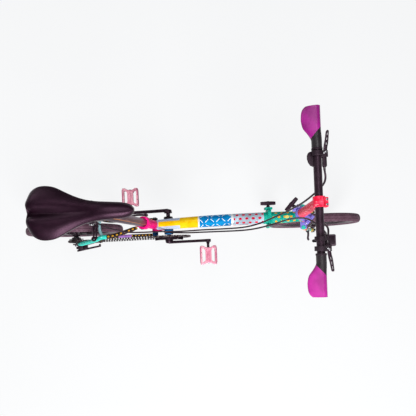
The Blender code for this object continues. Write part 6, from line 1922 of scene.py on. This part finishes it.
def make_brake_lever(name, side, perch_y, body_end):
    """Clamped perch with its cable barrel, and the pierced lever blade."""
    centre = BAR + LEFT * perch_y
    pivot = BAR + Vector((0.024, perch_y + side * 0.004, -0.006))
    ring = washer(centre, LEFT, BAR_RADIUS + 0.0058, BAR_RADIUS + 0.0003, 0.013, 0.001, 48)
    inner = pivot.y - side * 0.0085
    housing = brick(
        Vector((pivot.x - 0.003, (inner + body_end) / 2, pivot.z)), (0.0118, abs(inner - body_end), 0.0108),
        edge=0.0026
    )
    barrel = rod(
        Vector((pivot.x - 0.003, body_end + side * 0.006, pivot.z)),
        Vector((pivot.x - 0.003, body_end - side * 0.001, pivot.z)), 0.0047, 28, edge=0.0006
    )
    ears = []
    ear_start, ear_end = pivot.y + side * 0.0045, pivot.y - side * 0.0135
    for lift in (-0.006, 0.006):
        ears.append(
            brick(
                Vector((pivot.x - 0.004, (ear_start + ear_end) / 2, pivot.z + lift)),
                (0.0188, abs(ear_start - ear_end), 0.0038), edge=0.0012
            )
        )
    perch = join(ring, housing, barrel, *ears)
    place(perch, f"lever_perch_{name}", "handlepost", "plastic", f"brake_perch_{name}")
    pieces = [bolt(pivot + UP * 0.0076, UP, 0.0034, 0.0014), centred_rod(pivot, UP, 0.0072, 0.0024, 20)]
    pieces.append(bolt(centre + FORWARD * 0.0135 + UP * 0.01, FORWARD, 0.003, 0.004))
    place(join(*pieces), f"lever_bolts_{name}", "handlepost", "steel")
    if name == "left":
        outline = [
            (-0.0105, 0.134), (-0.019, 0.1345), (-0.0245, 0.131), (-0.0272, 0.1235), (-0.0272, 0.115),
            (-0.0245, 0.1055), (-0.019, 0.0975), (-0.0105, 0.0935)
        ]
        guard = slab(outline, BAR - UP * 0.002, FORWARD, LEFT, 0.0074, 0.0022)
        place(guard, "perch_guard_left", "handlepost", "plastic", "brake_perch_left")

    outer = [
        (-0.005, 0.001), (-0.004, -0.003), (0.0, -0.0045), (0.01, -0.0042), (0.02, -0.0028), (0.034, 0.0005),
        (0.048, 0.0028), (0.056, 0.0042), (0.0592, 0.006), (0.06, 0.0085), (0.0585, 0.0112), (0.056, 0.012),
        (0.047, 0.0112), (0.034, 0.01), (0.022, 0.0082), (0.014, 0.0062), (0.005, 0.005), (0.0, 0.0045),
        (-0.004, 0.0035)
    ]
    if side < 0:
        outer = [(-u, v) for u, v in reversed(outer)]
    blade = slab(outer, pivot, LEFT, FORWARD, 0.0066, 0.0014)
    cutters = []
    for low, lift in ((0.0195, 0.0034), (0.0325, 0.0054), (0.0455, 0.0074)):
        y0, y1 = side * low, side * (low + 0.008)
        shape = [(y0, lift - 0.0016), (y1, lift - 0.0006), (y1, lift + 0.0024), (y0, lift + 0.0014)]
        cutters.append(slab(shape if side > 0 else shape[::-1], pivot, LEFT, FORWARD, 0.02, 0.0005))
    blade = cut(blade, *cutters)
    place(blade, f"lever_blade_{name}", f"brake_lever_{name}", "lever", f"brake_lever_{name}")


def make_shifter():
    """Gear shifter case with its clamp band, lid and thumb lever."""
    ring = washer(BAR + LEFT * -0.098, LEFT, BAR_RADIUS + 0.0048, BAR_RADIUS + 0.0003, 0.012, 0.001, 48)
    case = brick(BAR + Vector((0.027, -0.1035, -0.0215)), (0.043, 0.0325, 0.0138), edge=0.004)
    place(join(ring, case), "shifter_case", "handlepost", "plastic", "shifter")
    rim = brick(BAR + Vector((0.0285, -0.1035, -0.0146)), (0.037, 0.029, 0.002), edge=0.0009)
    place(rim, "shifter_rim", "handlepost", "casing")
    lid = brick(BAR + Vector((0.0285, -0.1035, -0.0138)), (0.03, 0.0225, 0.0022), edge=0.0009)
    place(lid, "shifter_lid", "handlepost", "plastic")
    pivot = BAR + Vector((0.024, -0.104, -0.0215 - 0.007 - GAP - 0.0025))
    hub = centred_rod(pivot, UP, 0.0024, 0.0079, 28, edge=0.0006)
    thumb = slab(
        [
            (0.0, -0.004), (-0.02, -0.0034), (-0.034, -0.0034), (-0.0372, -0.0015), (-0.0378, 0.001),
            (-0.0365, 0.004), (-0.034, 0.0052), (-0.02, 0.004), (0.0, 0.004)
        ], pivot, FORWARD, LEFT, 0.004, 0.001
    )
    place(join(hub, thumb), "thumb_lever", "shift_lever", "plastic", "shift_lever")


# Cables


REAR_BRAKE_LINE = [
    (0.336, 0.0932, 0.966), (0.337, 0.083, 0.9655), (0.342, 0.066, 0.955), (0.342, 0.052, 0.935),
    (0.332, 0.036, 0.9), (0.322, 0.023, 0.85), (0.313, 0.014, 0.8), (0.289, 0.0, 0.705),
    (0.254, -0.014, 0.622), (0.234, -0.022, 0.582), (0.196, -0.031, 0.543), (0.155, -0.0345, 0.513),
    (0.085, -0.034, 0.474), (0.02, -0.033, 0.446), (-0.05, -0.033, 0.412), (-0.105, -0.032, 0.395),
    (-0.16, -0.03, 0.402), (-0.215, -0.032, 0.432), (-0.275, -0.03, 0.462), (-0.34, -0.012, 0.48),
    (-0.392, 0.016, 0.472), (-0.414, 0.0365, 0.446)
]
GEAR_LINE = [
    (0.338, -0.0892, 0.9505), (0.337, -0.082, 0.95), (0.33, -0.068, 0.936), (0.322, -0.05, 0.903),
    (0.315, -0.036, 0.86), (0.308, -0.028, 0.8), (0.296, -0.025, 0.72), (0.275, -0.03, 0.64),
    (0.238, -0.038, 0.57), (0.2, -0.043, 0.528), (0.155, -0.044, 0.492), (0.085, -0.0425, 0.457),
    (0.02, -0.041, 0.428), (-0.04, -0.039, 0.393), (-0.095, -0.034, 0.35), (-0.13, -0.03, 0.325)
]
FRONT_BRAKE_LINE = [
    (0.336, -0.1116, 0.966), (0.337, -0.1, 0.966), (0.3405, -0.084, 0.964), (0.344, -0.068, 0.95),
    (0.344, -0.054, 0.915), (0.352, -0.04, 0.855), (0.368, -0.028, 0.79), (0.398, -0.01, 0.7),
    (0.428, 0.008, 0.6), (0.448, 0.024, 0.53), (0.4585, 0.036, 0.482)
]


CABLE_RADIUS = 0.0029


def cable_part(name, points, bodies, start, end, *nodes):
    """A stretch of cable along the points."""
    part = wire(points, CABLE_RADIUS)
    place(part, name, None, "cable", *nodes)
    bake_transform(part)


def split_line(knots, cuts):
    """A smooth path through the knots, cut where it first passes each place."""
    path = smooth_path([Vector(k) for k in knots], 0.006)
    parts = []
    begin = 0
    for place_of_cut in cuts:
        best = min(range(begin, len(path)), key=lambda i: (path[i] - Vector(place_of_cut)).length)
        parts.append(path[begin:best + 1])
        begin = best
    parts.append(path[begin:])
    return parts


def make_cables():
    """Brake and gear cables in stretches, cut at given places along each line."""
    rear = split_line(REAR_BRAKE_LINE, [(0.297, 0.004, 0.735), (0.262, -0.011, 0.64), (0.05, -0.034, 0.46)])
    cable_part(
        "rear_brake_cable_top", rear[0], ("handlepost", "fork"), (0.325, 0.02, 0.86), (0.3, 0.005, 0.745),
        "cable_rear_brake"
    )
    cable_part("rear_brake_cable_head", rear[1], ("fork", "front_frame"), rear[1][0], rear[1][-1])
    cable_part(
        "rear_brake_cable_frame", rear[2], ("front_frame", "main_frame"), rear[2][0], (0.13, -0.034, 0.5)
    )
    cable_part(
        "rear_brake_cable_rear", rear[3], ("main_frame", "rear_frame"), (-0.09, -0.032, 0.395),
        (-0.25, -0.03, 0.452)
    )
    gear = split_line(GEAR_LINE, [(0.3, -0.026, 0.74), (0.262, -0.034, 0.61)])
    cable_part(
        "gear_cable_top", gear[0], ("handlepost", "fork"), (0.32, -0.045, 0.89), (0.302, -0.026, 0.75),
        "cable_gear"
    )
    cable_part("gear_cable_head", gear[1], ("fork", "front_frame"), gear[1][0], gear[1][-1])
    cable_part("gear_cable_frame", gear[2], ("front_frame", "main_frame"), gear[2][0], (0.13, -0.043, 0.48))
    front = smooth_path([Vector(k) for k in FRONT_BRAKE_LINE], 0.006)
    cable_part(
        "front_brake_cable_run", front, ("handlepost", "fork"), (0.344, -0.05, 0.9), (0.39, -0.012, 0.72),
        "cable_front_brake"
    )
    sleeves = []
    for knots in (REAR_BRAKE_LINE, GEAR_LINE, FRONT_BRAKE_LINE):
        first, second = Vector(knots[0]), Vector(knots[1])
        way = (second - first).normalized()
        sleeves.append(rod(first - way * 0.0004, first + way * 0.008, 0.0034, 20, edge=0.0005))
    place(join(*sleeves), "cable_end_sleeves", "handlepost", "dark_steel")


def paint_cad_nodes():
    """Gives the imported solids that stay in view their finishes."""
    for node, key in {"seat_tube": "pink", "bottom_bracket": "bracket"}.items():
        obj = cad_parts[node]
        obj.data.materials.clear()
        obj.data.materials.append(PAINT[key].material)


def main():
    """Builds the picture."""
    set_camera()
    set_studio()
    mix_paints()
    make_cables()
    for end, hub, width in (("front", FRONT_HUB, FRONT_SPACING), ("rear", REAR_HUB, REAR_SPACING)):
        make_tyre(end, hub)
        make_rim(end, hub)
        make_hub(end, hub, width)
    make_main_tube()
    make_clamp("hinge", HINGE + LEFT * HINGE_LEFT, LEFT, FORWARD, 0.03, "green")
    make_seat_clamp()
    make_saddle(make_seat_post())
    make_rear_frame()
    make_brake("rear", REAR_BRAKE, REAR_HUB, REAR_BRAKE_OUT, "rear_frame")
    make_cranks()
    make_pedals()
    make_gears()
    make_chain()
    make_front_frame()
    make_fork()
    make_brake("front", FRONT_BRAKE, FRONT_HUB, STEER_FORWARD, "fork")
    make_clamp("stem", stem_point(-0.024, 0.0, -0.004), -STEM_OUT, STEM_AXIS, 0.018, "lavender")
    make_stem()
    make_handlebar()
    make_brake_lever("left", 1, 0.1285, 0.094)
    make_brake_lever("right", -1, -0.1248, -0.112)
    make_shifter()
    paint_cad_nodes()


main()
